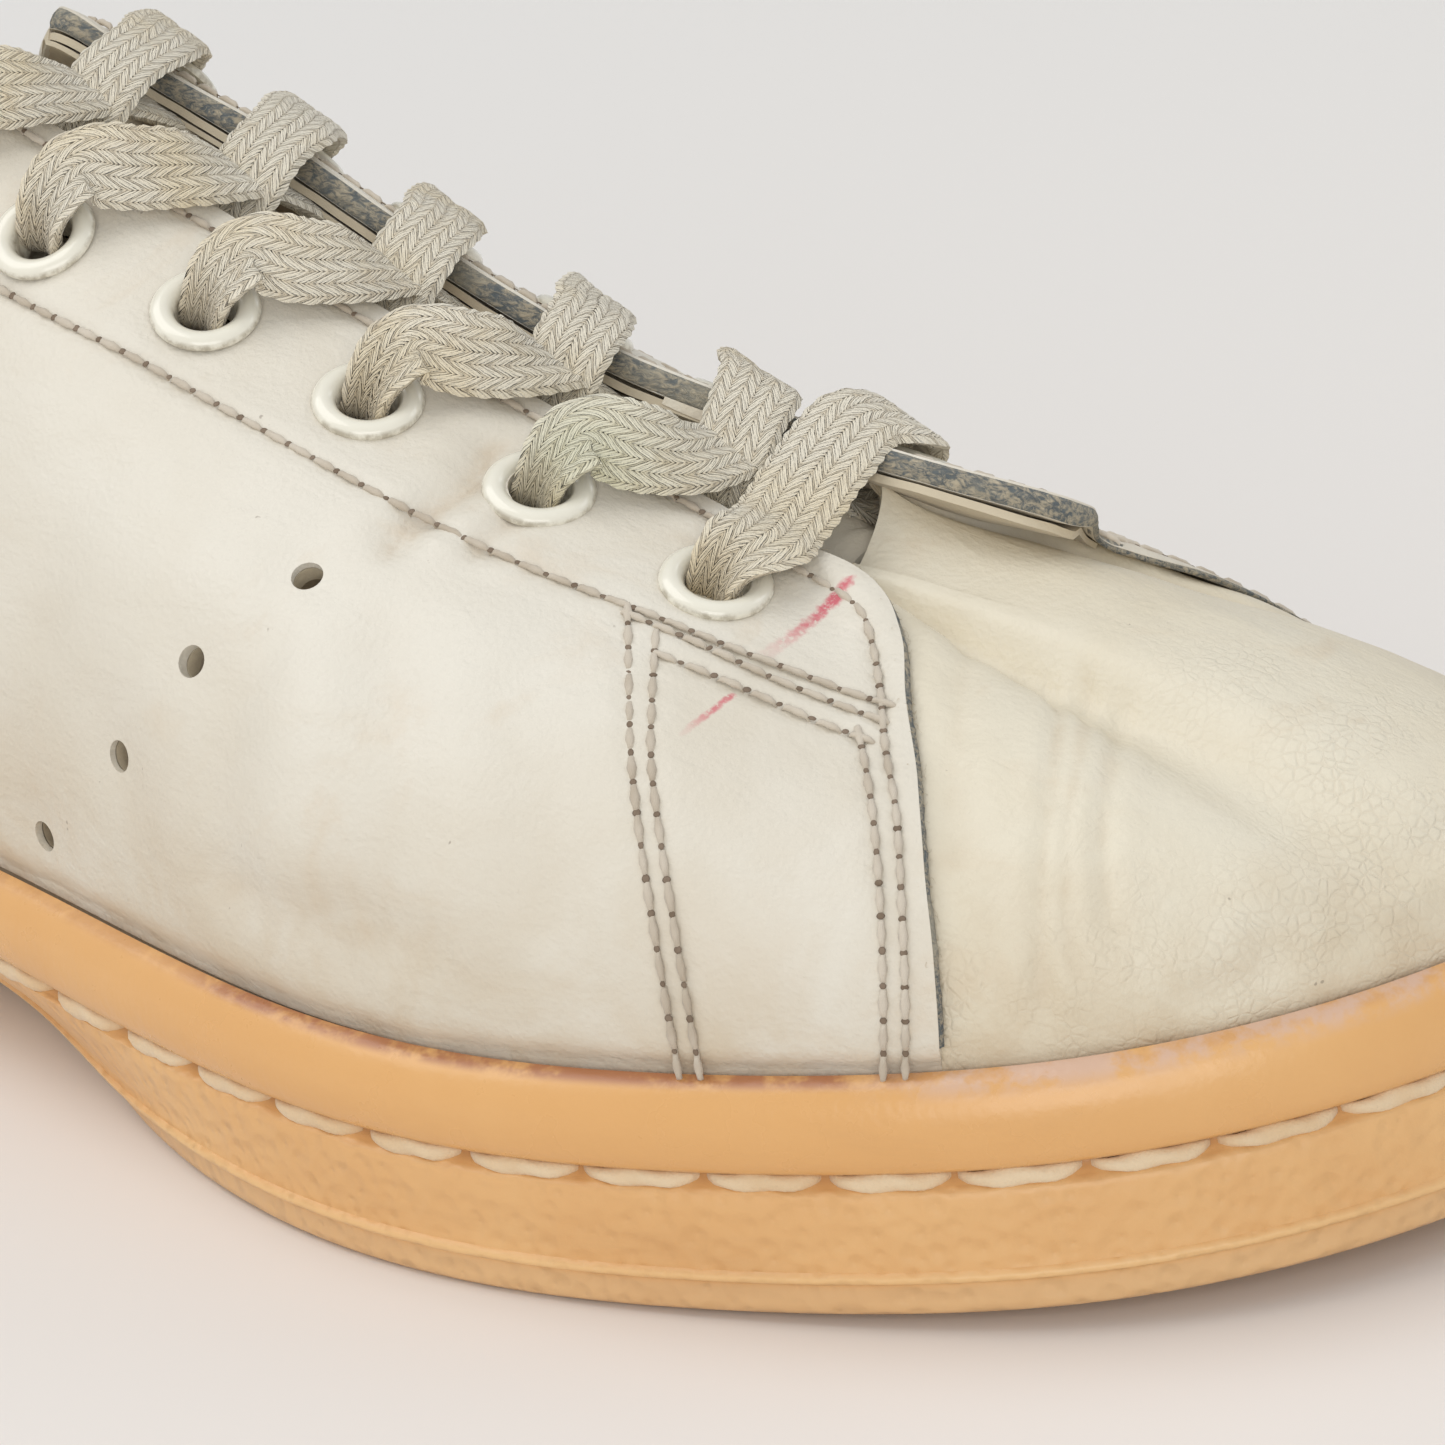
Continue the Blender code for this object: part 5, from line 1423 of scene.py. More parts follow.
def tongue_rows():
    """Rows of points and normals of the tongue's face, toe end first, as its solid has them."""
    distances = np.array((1.0, 0.62, 0.25))
    sink = LINING_FACE - TONGUE_ROOM
    rows = []
    normals = []
    for i in range(EYELET_PAIRS):
        half = TONGUE_HALF + (TONGUE_TOP_HALF - TONGUE_HALF) * i / (EYELET_PAIRS - 1)
        shares = [facing_share(eyelet_place(i), side, EYELET_INSET) for side in (-1, 1)]
        outer = [facing_point(shares[0], -1, half * d, sink) for d in distances]
        inner = [facing_point(shares[1], 1, half * d, sink) for d in distances[::-1]]
        middle = ((outer[-1][0] + inner[0][0]) / 2, (outer[-1][1] + inner[0][1]) / 2)
        row = outer + [middle] + inner
        rows.append(np.array([spot for spot, _ in row]))
        normals.append(np.array([way for _, way in row]))
    top_way = rows[-1] - rows[-2]
    top_way = unit(top_way)
    last = rows[-1]
    way_out = normals[-1]
    aside = np.linspace(-1, 1, len(last))
    for share in (0.4, 0.75, 1.0):
        narrow = (last[3] - last) * np.array([0.0, TONGUE_TAPER * share, 0.0])
        rise = TONGUE_LIFT * share ** 2 - TONGUE_SAG * math.sqrt(share) * aside ** 2
        rows.append(last + top_way * TONGUE_REACH * share + way_out * rise[:, None] + narrow)
        normals.append(way_out)
    toe_way = rows[0] - rows[1]
    toe_way = unit(toe_way)
    rows.insert(0, rows[0] + toe_way * TONGUE_TOE_END)
    normals.insert(0, normals[0])
    normals = np.array([unit(way) for way in normals])
    return np.array(rows), normals


def tongue_at(along, across, proud):
    """A point of the tongue's face: along 0 toe end to 1 top, across -1 outer to 1 inner."""
    rows, normals = TONGUE_FACE
    knots = np.linspace(0, 1, rows.shape[0])
    side_knots = np.linspace(-1, 1, rows.shape[1])
    spots = []
    for source in (rows, normals):
        lines = smooth_run(knots, source.reshape(len(knots), -1), along).reshape(len(along), rows.shape[1], 3)
        grid = smooth_run(side_knots, lines.transpose(1, 0, 2).reshape(rows.shape[1], -1), across)
        spots.append(grid.reshape(len(across), len(along), 3).transpose(1, 0, 2))
    return spots[0] + spots[1] * np.asarray(proud)[..., None], spots[1]


def make_tongue(material):
    """The padded tongue: soft crown between its sewn edges, top edge rounded."""
    along = np.linspace(0, 1, 110)
    across = np.linspace(-1, 1, 60)
    edge = np.minimum(1 - np.abs(across)[None, :], np.minimum(along, (1 - along) * 1.6)[:, None] * 2.2)
    puff = np.sqrt(np.clip(edge / 0.22, 0, 1))
    channel = np.exp(-((edge - 0.10) / 0.022) ** 2)
    face, _ = tongue_at(along, across, -0.0009 + 0.0008 * puff - 0.0006 * channel)
    ripple = 0.0003 * soft_noise(face.reshape(-1, 3), 0.012).reshape(edge.shape)
    face, _ = tongue_at(along, across, -0.0011 + 0.0009 * puff - 0.0006 * channel + ripple)
    back, _ = tongue_at(along, across, -TONGUE_THICKNESS + 0.0008 * (1 - puff))
    tongue = sheet_mesh("tongue_pad", face.reshape(-1, 3), back.reshape(-1, 3), edge.shape, material)
    set_value(tongue, "pebble", np.full(len(tongue.data.vertices), 0.3))
    return tongue


def make_patch(material):
    """The plain woven patch sewn on the top of the tongue."""
    along = np.linspace(*PATCH_ALONG, 30)
    across = np.linspace(-PATCH_HALF, PATCH_HALF, 36)
    ends = np.minimum(along - PATCH_ALONG[0], PATCH_ALONG[1] - along)
    edge = np.minimum(PATCH_HALF - np.abs(across)[None, :], ends[:, None] * 2.5)
    face, _ = tongue_at(along, across, 0.0004 + 0.0004 * np.sqrt(np.clip(edge / 0.05, 0, 1)))
    back, _ = tongue_at(along, across, np.full(edge.shape, -0.0006))
    return sheet_mesh("tongue_patch", face.reshape(-1, 3), back.reshape(-1, 3), edge.shape, material)


def eyelet_frames():
    """Label, centre on the facing's face and normal of each eyelet."""
    frames = []
    for i in range(EYELET_PAIRS):
        for side, label in ((-1, "outer"), (1, "inner")):
            place, normal = facing_stop(eyelet_place(i), side, EYELET_INSET, QUARTER_FACE)
            frames.append((f"{label}_{i + 1}", place, normal))
    return frames


EYELET_PROFILE = (
    ("radius", "height"),
    (0.50, -0.0031),
    (0.56, -0.0031),
    (0.56, 0.0001),
    (0.985, 0.0000),
    (1.00, 0.0002),
    (0.99, 0.0005),
    (0.95, 0.0008),
    (0.88, 0.00105),
    (0.80, 0.00115),
    (0.71, 0.00108),
    (0.63, 0.00085),
    (0.575, 0.0005),
    (0.545, 0.0000),
    (0.520, -0.0010),
)


def make_eyelets(material):
    """Rolled enamelled rings, each in its own hole."""
    eyelets = []
    sides = 56
    radii = column(EYELET_PROFILE, "radius") * EYELET_WIDTH / 2
    heights = column(EYELET_PROFILE, "height")
    angles = np.arange(sides) * 2 * math.pi / sides
    for label, place, normal in eyelet_frames():
        turn = np.array(Vector((0, 0, 1)).rotation_difference(Vector(normal)).to_matrix())
        rings = [np.column_stack((r * np.cos(angles), r * np.sin(angles), np.full(sides, h)))
                 for r, h in zip(radii, heights)]
        points = np.vstack(rings) @ turn.T + place
        grid = np.arange(len(points)).reshape(len(rings), sides)
        faces = grid_quads(np.vstack((grid, grid[:1])), wrap=True)
        eyelet = new_mesh(f"enamel_ring_{label}", points, faces, material)
        inside = np.repeat(smooth((0.60 - column(EYELET_PROFILE, "radius")) / 0.06), sides)
        outside = np.repeat(smooth((column(EYELET_PROFILE, "radius") - 0.96) / 0.03), sides)
        set_value(eyelet, "rim", np.maximum(inside, outside))
        eyelets.append((label, eyelet))
    return eyelets


# The lace: heights of its middle under, on and over the facing and the eyelet's flange
UNDER = LINING_FACE - 2 * GAP - LACE_THICKNESS / 2
OVER = QUARTER_FACE + GAP + LACE_THICKNESS / 2
FLANGE_TOP = QUARTER_FACE + 0.0012 + GAP + LACE_THICKNESS / 2
LACE_ARCH = 0.0012
FOLD_TURN = 1.25
BAR_WIDTH = 1.12
NEAR_STAND = 1.25
FLAT_STAND = 0.40
FAR_SLANT = 4.0
FAR_CURL = 0.55


def lace_half(side):
    """Stops of one half of the lace, from the front bar's middle to its hidden end under the top eyelet."""
    stops = []

    def stop(x, where, inset, proud, curl=0.0, width=1.0):
        spot = facing_stop(x, where, inset, proud)[0]
        stops.append((spot, curl * where * (1.0 if where < 0 else FAR_CURL), width, FLAT_STAND))

    def dive(x, where, last, width=1.0):
        arch = LACE_ARCH * (1.7 if where < 0 and width == 1 else 0.7)
        slant = FAR_SLANT if where > 0 and width == 1 else 1.0
        stop(x + 0.0010 * slant, where, EYELET_INSET - 0.0064, FLANGE_TOP + arch, 0.10, width)
        stop(x + 0.0006 * slant, where, EYELET_INSET - 0.0038, FLANGE_TOP + arch * 0.6, 0.45, width * 0.92)
        stop(x + 0.0002 * slant, where, EYELET_INSET - 0.0016, FLANGE_TOP - 0.0006, 0.90, width * 0.80)
        stop(x, where, EYELET_INSET - 0.0004, QUARTER_FACE - 0.0010, 1.0, 0.74)
        if last:
            stop(x, where, EYELET_INSET - 0.0008, LINING_FACE - 0.0012, 0.9, 0.75)
        else:
            stop(x - 0.0012, where, EYELET_INSET - 0.0030, UNDER - 0.0004, 0.5, 0.85)

    first = eyelet_place(0)
    middle = (facing_stop(first, -1, 0.0, OVER)[0] + facing_stop(first, 1, 0.0, OVER)[0]) / 2
    stops.append((middle + np.array([0, 0, LACE_ARCH]), 0.0, BAR_WIDTH, FLAT_STAND))
    stop(first, side, 0.0012, OVER + LACE_ARCH * 0.8, 0.0, BAR_WIDTH)
    dive(first, side, False, BAR_WIDTH)
    for number in range(EYELET_PAIRS - 1):
        start, end = eyelet_place(number), eyelet_place(number + 1)
        step = end - start
        stop(start + step * 0.24, side, 0.0050, UNDER - 0.0002, 0.1, 1.0)
        stop(start + step * 0.35, side, 0.0008, UNDER + 0.0002)
        here = facing_stop(start + step * 0.40, side, 0.0, 0.0)
        there = facing_stop(start + step * 0.54, -side, 0.0, OVER)
        lift = 0.0016 if side < 0 else -0.0010
        centre = (here[0] + there[0]) / 2 + (here[1] + there[1]) / 2 * (lift + 0.0008)
        stops.append((centre, 0.0, 1.0, FLAT_STAND))
        side = -side
        arch = LACE_ARCH * (2.0 if side < 0 else 1.0)
        stop(start + step * 0.58, side, 0.0008, OVER + arch)
        if side < 0:
            stop(start + step * 0.72, side, 0.0046, OVER + arch * 1.3)
        else:
            stop(start + step * 0.65, side, 0.0026, OVER + arch * 1.2)
        if side < 0:
            stops[-2:] = [(*stop_values[:3], NEAR_STAND) for stop_values in stops[-2:]]
        dive(end, side, number == EYELET_PAIRS - 2)
    return stops


def evened(rows, reach):
    """Rows smoothed by a bell window this many rows wide, with the ends kept."""
    window = np.hanning(2 * reach + 3)[1:-1]
    window /= window.sum()
    padded = np.vstack((np.repeat(rows[:1], reach, axis=0), rows, np.repeat(rows[-1:], reach, axis=0)))
    return np.column_stack([np.convolve(padded[:, i], window, mode="valid") for i in range(rows.shape[1])])


def make_lace(material):
    """One flat braided lace through every eyelet, folded to a valley where it passes one."""
    outer, inner = lace_half(-1), lace_half(1)
    stops = [(spot, -curl, *rest) for spot, curl, *rest in outer[::-1]] + inner[1:]
    route = np.array([spot for spot, *_ in stops])
    knots = run_lengths(route)
    where = np.arange(0, knots[-1], LACE_STEP)
    centre = evened(smooth_run(knots, route, where), 4)
    lengths = run_lengths(centre)
    shape = evened(smooth_run(knots, np.array([values for _, *values in stops]), where), 4)
    along = unit(np.gradient(centre, axis=0))
    back_way = unit(np.column_stack((-np.ones(len(where)), np.zeros(len(where)), shape[:, 2])))
    wide = evened(back_way - along * (along * back_way).sum(axis=1)[:, None], 9)
    wide = unit(wide - along * (wide * along).sum(axis=1)[:, None])
    out = np.cross(along, wide)
    half = LACE_WIDTH / 2 * shape[:, 1]
    bend = shape[:, 0] * FOLD_TURN / half
    bend = np.where(np.abs(bend) < 1, 1, bend)
    front, rear = 23, 11
    across = np.concatenate((np.linspace(-1, 1, front), np.linspace(1, -1, rear)[1:-1]))
    upper = np.append(np.ones(front), -np.ones(rear - 2))
    wander = 1 + 0.05 * soft_noise(np.column_stack((lengths, lengths * 0, lengths * 0)), 0.006)
    rows = []
    sheet = []
    for a, face in zip(across, upper):
        bulge = (1 - abs(a) ** 4) ** 0.5 if abs(a) < 1 else 0.0
        column_place = a * LACE_WIDTH / 2 / BRAID_COLUMN
        share = column_place - math.floor(column_place)
        slant = 1 - 2 * (math.floor(column_place) % 2)
        phase = lengths / BRAID_PITCH + slant * BRAID_SLANT * (share - 0.5)
        floats = np.abs(np.sin(math.pi * phase)) ** 0.6
        groove = math.sin(math.pi * share) ** 0.5
        height = face * bulge * (LACE_THICKNESS / 2 * (0.80 + 0.20 * groove) + BRAID_RELIEF * (floats - 0.6))
        flat = half * wander * a * (1 + 0.020 * np.sin(2 * math.pi * lengths / BRAID_PITCH) * (abs(a) > 0.8))
        arc = bend * flat
        aside = np.sin(arc) / bend - height * np.sin(arc)
        lift = (1 - np.cos(arc)) / bend + height * np.cos(arc)
        rows.append(centre + wide * aside[:, None] + out * lift[:, None])
        sheet.append(np.column_stack((np.full(len(lengths), a * LACE_WIDTH / 2), lengths)))
    points = np.array(rows).transpose(1, 0, 2).reshape(-1, 3)
    grid = np.arange(len(points)).reshape(len(where), -1)
    faces = grid_quads(grid, wrap=True).tolist()
    faces += [tuple(grid[0][::-1]), tuple(grid[-1])]
    lace = new_mesh("lace", points, faces, material, sharp=80)
    set_sheet(lace, np.array(sheet).transpose(1, 0, 2).reshape(-1, 2))
    spot = facing_stop(eyelet_place(1) + 0.002, -1, 0.0085, OVER)[0]
    set_value(lace, "green", np.exp(-(np.linalg.norm(points - spot, axis=1) / 0.0065) ** 2))
    # Darker in and around the eyelet holes, where the lace passes through them.
    tucked = [facing_stop(eyelet_place(i), side, EYELET_INSET, 0.0)[0]
              for i in range(EYELET_PAIRS) for side in (-1, 1)]
    away = np.min([np.linalg.norm(points - hole, axis=1) for hole in tucked], axis=0)
    set_value(lace, "darker_by_eyelets", smooth((0.0062 - away) / 0.004))
    return lace, float(lengths[-1])


def make_fibres(name, thing, chance, length, width, material, seed):
    """Loose curly fibres standing off a mesh, joined into one piece."""
    random = np.random.default_rng(seed)
    count = len(thing.data.vertices)
    spots = np.empty(count * 3)
    thing.data.vertices.foreach_get("co", spots)
    spots = spots.reshape(-1, 3) + ORIGIN
    ways = np.array([v.normal[:] for v in thing.data.vertices])
    chosen = random.choice(np.arange(count), int(chance * count), replace=False)
    rings, sides = 5, 3
    points = []
    faces = []
    for number in chosen:
        root, way = spots[number], ways[number]
        lean = random.normal(size=3)
        lean -= way * (lean @ way)
        lean /= np.linalg.norm(lean)
        reach = length * random.uniform(0.35, 1.0)
        curl = random.uniform(0.4, 1.3)
        swirl = np.cross(way, lean)
        base = len(points)
        for i in range(rings):
            t = i / (rings - 1)
            middle = root + way * reach * (0.75 * t - 0.35 * t * t) + lean * reach * curl * 0.6 * t * t
            middle = middle + swirl * reach * 0.18 * math.sin(5 * t * curl)
            thick = width / 2 * (1 - 0.7 * t)
            for j in range(sides):
                angle = 2 * math.pi * j / sides
                spoke = swirl * math.cos(angle) + np.cross(lean, swirl) * math.sin(angle)
                points.append(middle + spoke * thick)
        ring = base + np.arange(rings * sides).reshape(rings, sides)
        faces += grid_quads(ring, wrap=True).tolist()
        faces += [tuple(ring[0][::-1]), tuple(ring[-1])]
    return new_mesh(name, points, faces, material, sharp=180)


# Thread: Geometry Nodes set one stitch after another along the rows

def thread_tree():
    """A tree that lays a stitch object along every edge chain of a mesh, turned to its normals."""
    tree = bpy.data.node_groups.new("stitch_rows", "GeometryNodeTree")
    face = tree.interface
    face.new_socket("Rows", in_out="INPUT", socket_type="NodeSocketGeometry")
    for name, kind in (("Pitch", "NodeSocketFloat"), ("Size_Spread", "NodeSocketFloat"),
                       ("Stitch", "NodeSocketObject"), ("Thread", "NodeSocketMaterial"),
                       ("Seed", "NodeSocketInt")):
        face.new_socket(name, in_out="INPUT", socket_type=kind)
    face.new_socket("Stitches", in_out="OUTPUT", socket_type="NodeSocketGeometry")
    make = tree.nodes.new
    link = tree.links.new
    start, end = make("NodeGroupInput"), make("NodeGroupOutput")
    curve = make("GeometryNodeMeshToCurve")
    link(start.outputs["Rows"], curve.inputs["Mesh"])
    spaced = make("GeometryNodeResampleCurve")
    spaced.mode = "LENGTH"
    link(curve.outputs["Curve"], spaced.inputs["Curve"])
    link(start.outputs["Pitch"], spaced.inputs["Length"])
    tangent = make("GeometryNodeInputTangent")
    out = make("GeometryNodeInputNamedAttribute")
    out.data_type = "FLOAT_VECTOR"
    out.inputs["Name"].default_value = "out"
    first = make("FunctionNodeAlignRotationToVector")
    first.axis = "X"
    link(tangent.outputs[0], first.inputs["Vector"])
    second = make("FunctionNodeAlignRotationToVector")
    second.axis = "Z"
    second.pivot_axis = "X"
    link(first.outputs[0], second.inputs["Rotation"])
    link(out.outputs[0], second.inputs["Vector"])
    spread = make("FunctionNodeRandomValue")
    spread.data_type = "FLOAT_VECTOR"
    low, high = make("ShaderNodeMath"), make("ShaderNodeMath")
    low.operation, high.operation = "SUBTRACT", "ADD"
    for node in (low, high):
        node.inputs[0].default_value = 1.0
        link(start.outputs["Size_Spread"], node.inputs[1])
    link(low.outputs[0], spread.inputs[0])
    link(high.outputs[0], spread.inputs[1])
    link(start.outputs["Seed"], spread.inputs["Seed"])
    stitch = make("GeometryNodeObjectInfo")
    link(start.outputs["Stitch"], stitch.inputs["Object"])
    lay = make("GeometryNodeInstanceOnPoints")
    link(spaced.outputs["Curve"], lay.inputs["Points"])
    link(stitch.outputs["Geometry"], lay.inputs["Instance"])
    link(second.outputs[0], lay.inputs["Rotation"])
    link(spread.outputs[0], lay.inputs["Scale"])
    real = make("GeometryNodeRealizeInstances")
    link(lay.outputs["Instances"], real.inputs["Geometry"])
    paint = make("GeometryNodeSetMaterial")
    link(real.outputs["Geometry"], paint.inputs["Geometry"])
    link(start.outputs["Thread"], paint.inputs["Material"])
    link(paint.outputs["Geometry"], end.inputs["Stitches"])
    return tree


def halfway_rows(line, ways):
    """A row moved on by half a stitch at both ends, so that its points fall between the stitches."""
    lengths = run_lengths(line)
    step = lengths[-1] / max(1, int(lengths[-1] / THREAD_PITCH))
    where = np.linspace(step / 2, lengths[-1] - step / 2, len(line))
    return (np.column_stack([np.interp(where, lengths, line[:, i]) for i in range(3)]),
            np.column_stack([np.interp(where, lengths, ways[:, i]) for i in range(3)]))


def stitch_shape(name, length, width, sink, twist, rings=9, sides=8, flat=0.85):
    """A two-ply stitch: a lens of twisted thread that dips into the leather at both ends."""
    points = []
    for i in range(rings):
        t = i / (rings - 1)
        swell = math.sin(math.pi * (0.08 + 0.84 * t)) ** 0.55
        for j in range(sides):
            angle = 2 * math.pi * j / sides
            ply = 1 + 0.16 * math.cos(2 * (angle - twist * t))
            x = (t - 0.5) * length
            y = math.cos(angle) * width / 2 * swell * ply
            z = math.sin(angle) * width / 2 * flat * swell * ply - sink * (2 * t - 1) ** 6
            points.append((x, y, z + width * 0.12))
    grid = np.arange(len(points)).reshape(rings, sides)
    faces = grid_quads(grid, wrap=True, flip=True).tolist() + [tuple(grid[0]), tuple(grid[-1][::-1])]
    mesh = bpy.data.meshes.new(name)
    mesh.from_pydata(points, [], faces)
    mesh.shade_smooth()
    return bpy.data.objects.new(name, mesh)


def lay_stitches(name, lines, stitch, pitch, spread, material, seed):
    """Lay stitches along lines of (points, normals) and turn the result into a plain mesh."""
    points = np.vstack([line for line, _ in lines]) - ORIGIN
    ways = np.vstack([way for _, way in lines])
    edges = []
    start = 0
    for line, _ in lines:
        edges += [(start + i, start + i + 1) for i in range(len(line) - 1)]
        start += len(line)
    mesh = bpy.data.meshes.new(name)
    mesh.from_pydata(points.tolist(), edges, [])
    layer = mesh.attributes.new("out", "FLOAT_VECTOR", "POINT")
    layer.data.foreach_set("vector", ways.ravel())
    rows = bpy.data.objects.new(name, mesh)
    bpy.context.scene.collection.objects.link(rows)
    live = rows.modifiers.new("stitches", "NODES")
    live.node_group = THREAD_TREE
    keys = {item.name: item.identifier for item in THREAD_TREE.interface.items_tree if item.in_out == "INPUT"}
    for key, value in (("Pitch", pitch), ("Size_Spread", spread), ("Stitch", stitch), ("Thread", material),
                       ("Seed", seed)):
        live[keys[key]] = value
    graph = bpy.context.evaluated_depsgraph_get()
    made = bpy.data.meshes.new_from_object(rows.evaluated_get(graph))
    rows.modifiers.remove(live)
    rows.data = made
    made.shade_smooth()
    return rows


def punch_holes(thing, side, vents=True):
    """Cut the eyelet holes, and the vent holes where wanted, through a piece."""
    spots = [(*facing_stop(eyelet_place(i), side, EYELET_INSET, 0.0), EYELET_HOLE / 2)
             for i in range(EYELET_PAIRS)]
    if vents:
        for vent_around, vent_up in VENTS:
            spot, way = upper_skin([on_side(vent_around, side)], [vent_up], 0.0)
            spots.append((spot[0], way[0], VENT_WIDTH / 2))
    builder = bmesh.new()
    for spot, way, radius in spots:
        turn = Vector((0, 0, 1)).rotation_difference(Vector(way)).to_matrix().to_4x4()
        place = Matrix.Translation(Vector(spot - ORIGIN)) @ turn
        bmesh.ops.create_cone(builder, cap_ends=True, segments=24, radius1=radius, radius2=radius,
                              depth=HOLE_DEPTH, matrix=place)
    mesh = bpy.data.meshes.new("hole_punch")
    builder.to_mesh(mesh)
    builder.free()
    punch = bpy.data.objects.new("hole_punch", mesh)
    bpy.context.scene.collection.objects.link(punch)
    cut = thing.modifiers.new("holes", "BOOLEAN")
    cut.operation = "DIFFERENCE"
    cut.solver = "EXACT"
    cut.object = punch
    graph = bpy.context.evaluated_depsgraph_get()
    made = bpy.data.meshes.new_from_object(thing.evaluated_get(graph))
    thing.modifiers.remove(cut)
    thing.data = made
    bpy.data.objects.remove(punch)


# Stage
FLOOR_FRONT = 3.0
FLOOR_BACK = 1.6
FLOOR_HALF = 4.0
SWEEP = 0.8
WALL_TOP = 3.5


def make_stage():
    """Plain pale floor that sweeps up into a backdrop."""
    floor = Finish("studio_floor")
    tone = floor.level(floor.axes()[1], -0.30, 0.60)
    colour = floor.blend(tone, (0.80, 0.755, 0.715), (0.78, 0.765, 0.74))
    material = floor.finish(colour, 0.75)
    profile = [(-FLOOR_FRONT, 0.0)]
    for i in range(17):
        angle = math.pi / 2 * i / 16
        profile.append((FLOOR_BACK + SWEEP * math.sin(angle), SWEEP - SWEEP * math.cos(angle)))
    profile.append((FLOOR_BACK + SWEEP, WALL_TOP))
    points = [(x, y, z) for x in (-FLOOR_HALF, FLOOR_HALF) for y, z in profile]
    count = len(profile)
    faces = [(i, count + i, count + i + 1, i + 1) for i in range(count - 1)]
    mesh = bpy.data.meshes.new("studio_floor")
    mesh.from_pydata(points, [], faces)
    mesh.shade_smooth()
    mesh.materials.append(material)
    sweep = bpy.data.objects.new("studio_floor", mesh)
    sweep.rotation_euler = (0, 0, math.radians(VIEW_TURN))
    bpy.context.scene.collection.objects.link(sweep)


# Camera: turn about the shoe, downward pitch, roll (degrees), scale in px/mm, shift and distance in mm
VIEW_TURN = 41.353
VIEW_PITCH = 22.835
VIEW_ROLL = -4.800
VIEW_SCALE = 10.749
VIEW_SHIFT = (-15.665, -18.458)
VIEW_DISTANCE = 700.0
VIEW_TARGET = (200.0, -30.0, 25.0)
PHOTO_SIZE = 1445
SENSOR = 36.0


def make_camera():
    """A camera at the photograph's angle."""
    turn, pitch, roll = (math.radians(v) for v in (VIEW_TURN, VIEW_PITCH, VIEW_ROLL))
    right = Vector((math.cos(turn), math.sin(turn), 0))
    ahead = Vector((-math.sin(turn), math.cos(turn), 0))
    sight = ahead * math.cos(pitch) - Vector((0, 0, math.sin(pitch)))
    upward = Vector((0, 0, math.cos(pitch))) + ahead * math.sin(pitch)
    rolled = right * math.cos(roll) + upward * math.sin(roll)
    upward = upward * math.cos(roll) - right * math.sin(roll)
    eye = Vector(VIEW_TARGET) - rolled * VIEW_SHIFT[0] - upward * VIEW_SHIFT[1] - sight * VIEW_DISTANCE
    data = bpy.data.cameras.new("studio_camera")
    data.sensor_width = SENSOR
    data.lens = SENSOR * VIEW_SCALE * VIEW_DISTANCE / PHOTO_SIZE
    data.clip_start = 0.05
    camera = bpy.data.objects.new("studio_camera", data)
    camera.matrix_world = Matrix.Translation(eye / 1000 - Vector(ORIGIN)) @ Matrix(
        (rolled, upward, -sight)).transposed().to_4x4()
    bpy.context.scene.collection.objects.link(camera)
    bpy.context.scene.camera = camera


LIGHT_TARGET = (0.02, 0.0, 0.03)
LIGHTS = (
    ("name", "place", "size", "watts", "colour"),
    ("key_softbox", (-0.55, -0.35, 1.15), (1.1, 1.1), 7.2, (1.0, 0.985, 0.96)),
    ("front_softbox", (0.95, -1.10, 0.62), (1.2, 0.8), 7.5, (1.0, 0.985, 0.96)),
    ("rim_softbox", (0.55, 0.95, 0.85), (1.0, 0.5), 2.2, (1.0, 1.0, 1.0)),
)


def make_light(name, place, size, watts, colour):
    """One softbox, turned to the shoe."""
    data = bpy.data.lights.new(name, "AREA")
    data.shape = "RECTANGLE"
    data.size, data.size_y = size
    data.energy = watts
    data.color = colour
    light = bpy.data.objects.new(name, data)
    light.location = place
    light.rotation_euler = (Vector(LIGHT_TARGET) - Vector(place)).to_track_quat("-Z", "Y").to_euler()
    bpy.context.scene.collection.objects.link(light)


def make_lights():
    """Large soft studio light from above and the left, with pale surroundings."""
    world = bpy.data.worlds.new("studio")
    world.use_nodes = True
    world.node_tree.nodes["Background"].inputs["Color"].default_value = (0.93, 0.96, 1.0, 1)
    world.node_tree.nodes["Background"].inputs["Strength"].default_value = 0.62
    bpy.context.scene.world = world
    for row in LIGHTS[1:]:
        make_light(*row)


make_camera()
make_stage()
make_lights()
bpy.context.scene.view_settings.view_transform = "Standard"

pen_lines = [(skin_spot(start, -1, QUARTER_FACE), skin_spot(end, -1, QUARTER_FACE), *rest)
             for start, end, *rest in PEN_MARKS]
QUARTER_LEATHER = leather_finish("quarter_leather", (0.745, 0.700, 0.605), (0.68, 0.62, 0.51), 0.0010, 0.50,
                                 pen_lines, crackled=False)
VAMP_LEATHER = leather_finish("vamp_leather", (0.755, 0.695, 0.560), (0.70, 0.62, 0.465), 0.0012, 0.60)
TONGUE_LEATHER = leather_finish("tongue_leather", (0.70, 0.65, 0.54), (0.60, 0.52, 0.40), 0.0011, 0.3)
RUBBER = rubber_finish()
LINING = lining_finish()
FOOTBED = footbed_finish()
LACE = lace_finish()
RAW_EDGE = cut_edge_finish()
HOLE_SHADOW = plain_finish("needle_hole_shadow", (0.24, 0.18, 0.13), (0.17, 0.12, 0.08), 0.9)
FIBRE = plain_finish("loose_fibre", (0.62, 0.53, 0.38), (0.50, 0.40, 0.26), 0.9)
LACE_FUZZ = plain_finish("lace_fuzz", (0.80, 0.74, 0.62), (0.74, 0.66, 0.50), 0.9)
ENAMEL = enamel_finish()
SEAM_THREAD = thread_finish("seam_thread", (0.61, 0.54, 0.44), (0.47, 0.395, 0.30), 0.00020)
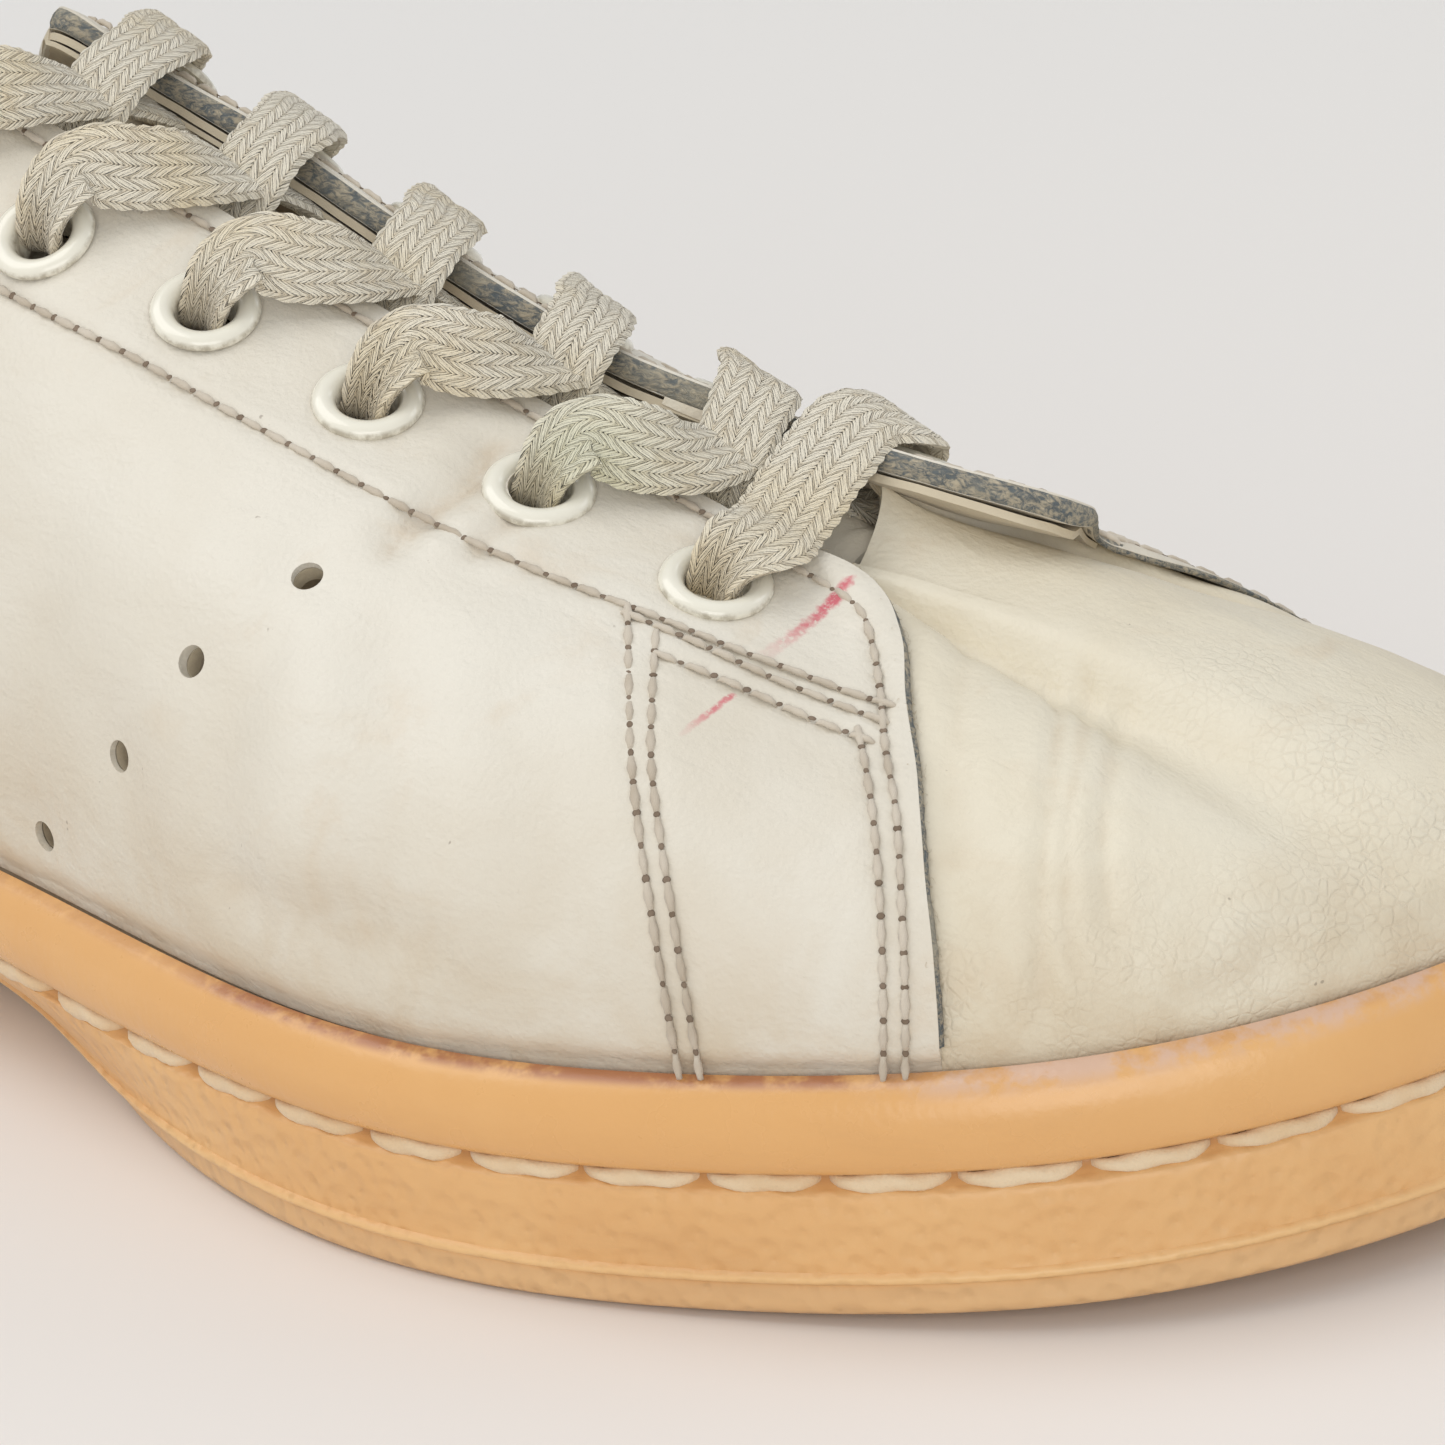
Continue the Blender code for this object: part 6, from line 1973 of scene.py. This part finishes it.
WELT_THREAD = thread_finish("waxed_welt_thread", (0.76, 0.60, 0.40), (0.70, 0.50, 0.29), 0.00045)
PATCH = plain_finish("patch_weave", (0.02, 0.19, 0.09), (0.03, 0.14, 0.07), 0.7)

TONGUE_FACE = tongue_rows()
THREAD_TREE = thread_tree()


def place(piece, slot, *nodes):
    """Say what a finished piece rides on and stands for. The slot argument is not used."""
    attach(piece, "root")
    if nodes:
        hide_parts(*nodes)
    return piece


all_rows = []
for side, label in ((-1, "outer"), (1, "inner")):
    rows = quarter_rows(side)
    all_rows += rows
    quarter, rims = make_quarter(side, label, QUARTER_LEATHER, rows)
    punch_holes(quarter, side)
    place(quarter, "upper_leather", "upper")
    raw_edge = place(make_raw_edge(label, rims, RAW_EDGE), "upper_leather", "upper")
    nap = make_fibres(f"edge_nap_{label}", raw_edge, 0.20, 0.0011, 0.00007, FIBRE, 11 + side)
    place(nap, "upper_leather", "upper")
    facing_lining = make_facing_lining(side, label, LINING)
    punch_holes(facing_lining, side, vents=False)
    place(facing_lining, "upper_leather", "upper")
place(make_vamp(VAMP_LEATHER), "upper_leather", "upper")
lining = make_lining(LINING)
for side in (-1, 1):
    punch_holes(lining, side)
place(lining, "upper_leather", "upper")
place(make_collar_roll(QUARTER_LEATHER), "upper_leather", "upper")
place(make_heel_tab(QUARTER_LEATHER), "upper_leather", "heel_tab")
place(make_sole(RUBBER), "sole_rubber", "cupsole")
place(make_footbed(FOOTBED), "footbed", "insole")
tongue = place(make_tongue(TONGUE_LEATHER), "tongue_leather", "tongue")
place(make_patch(PATCH), "tongue_leather", "tongue")
for label, eyelet in make_eyelets(ENAMEL):
    place(eyelet, "eyelet_enamel", f"eyelet_{label}")
lace, lace_length = make_lace(LACE)
print("lace length", round(lace_length, 3))
place(lace, "lace_cotton", "lace_bar", *[f"lace_cross_{i}" for i in range(1, EYELET_PAIRS)])
fuzz = make_fibres("lace_fuzz", lace, 0.045, 0.0013, 0.00005, LACE_FUZZ, 7)
place(fuzz, "lace_cotton", "lace_bar")

all_rows += tab_rows()
stitch = stitch_shape("seam_stitch", THREAD_LENGTH, THREAD_WIDTH, 0.0006, 6.0)
seams = lay_stitches("seam_stitches", all_rows, stitch, THREAD_PITCH, 0.10, SEAM_THREAD, 4)
place(seams, "upper_leather", "upper")
hole = stitch_shape("needle_hole", NEEDLE_HOLE, NEEDLE_HOLE * 0.9, 0.0, 0.0, 5, 8, 0.28)
between = [halfway_rows(line, ways) for line, ways in all_rows]
holes = lay_stitches("needle_holes", between, hole, THREAD_PITCH, 0.25, HOLE_SHADOW, 6)
place(holes, "upper_leather", "upper")

welt_around = np.linspace(0, 2, 401)
welt_flat, welt_out = plan_at(welt_around, WELT_SINK)
welt_x = welt_flat[:, 0]
welt_height = ground_at(welt_x) + (side_height_at(welt_x) - ground_at(welt_x)) * WELT_SHARE
welt_line = np.column_stack((welt_flat, welt_height))
welt_ways = np.column_stack((welt_out, np.zeros(len(welt_out))))
welt_stitch = stitch_shape("welt_stitch", WELT_LENGTH, WELT_WIDTH, 0.0012, 7.0, 15, 12)
welt = lay_stitches("welt_stitches", [(welt_line, welt_ways)], welt_stitch, WELT_PITCH, 0.05, WELT_THREAD, 2)
place(welt, "sole_rubber", "cupsole")

for helper in (stitch, welt_stitch, hole):
    bpy.data.objects.remove(helper)
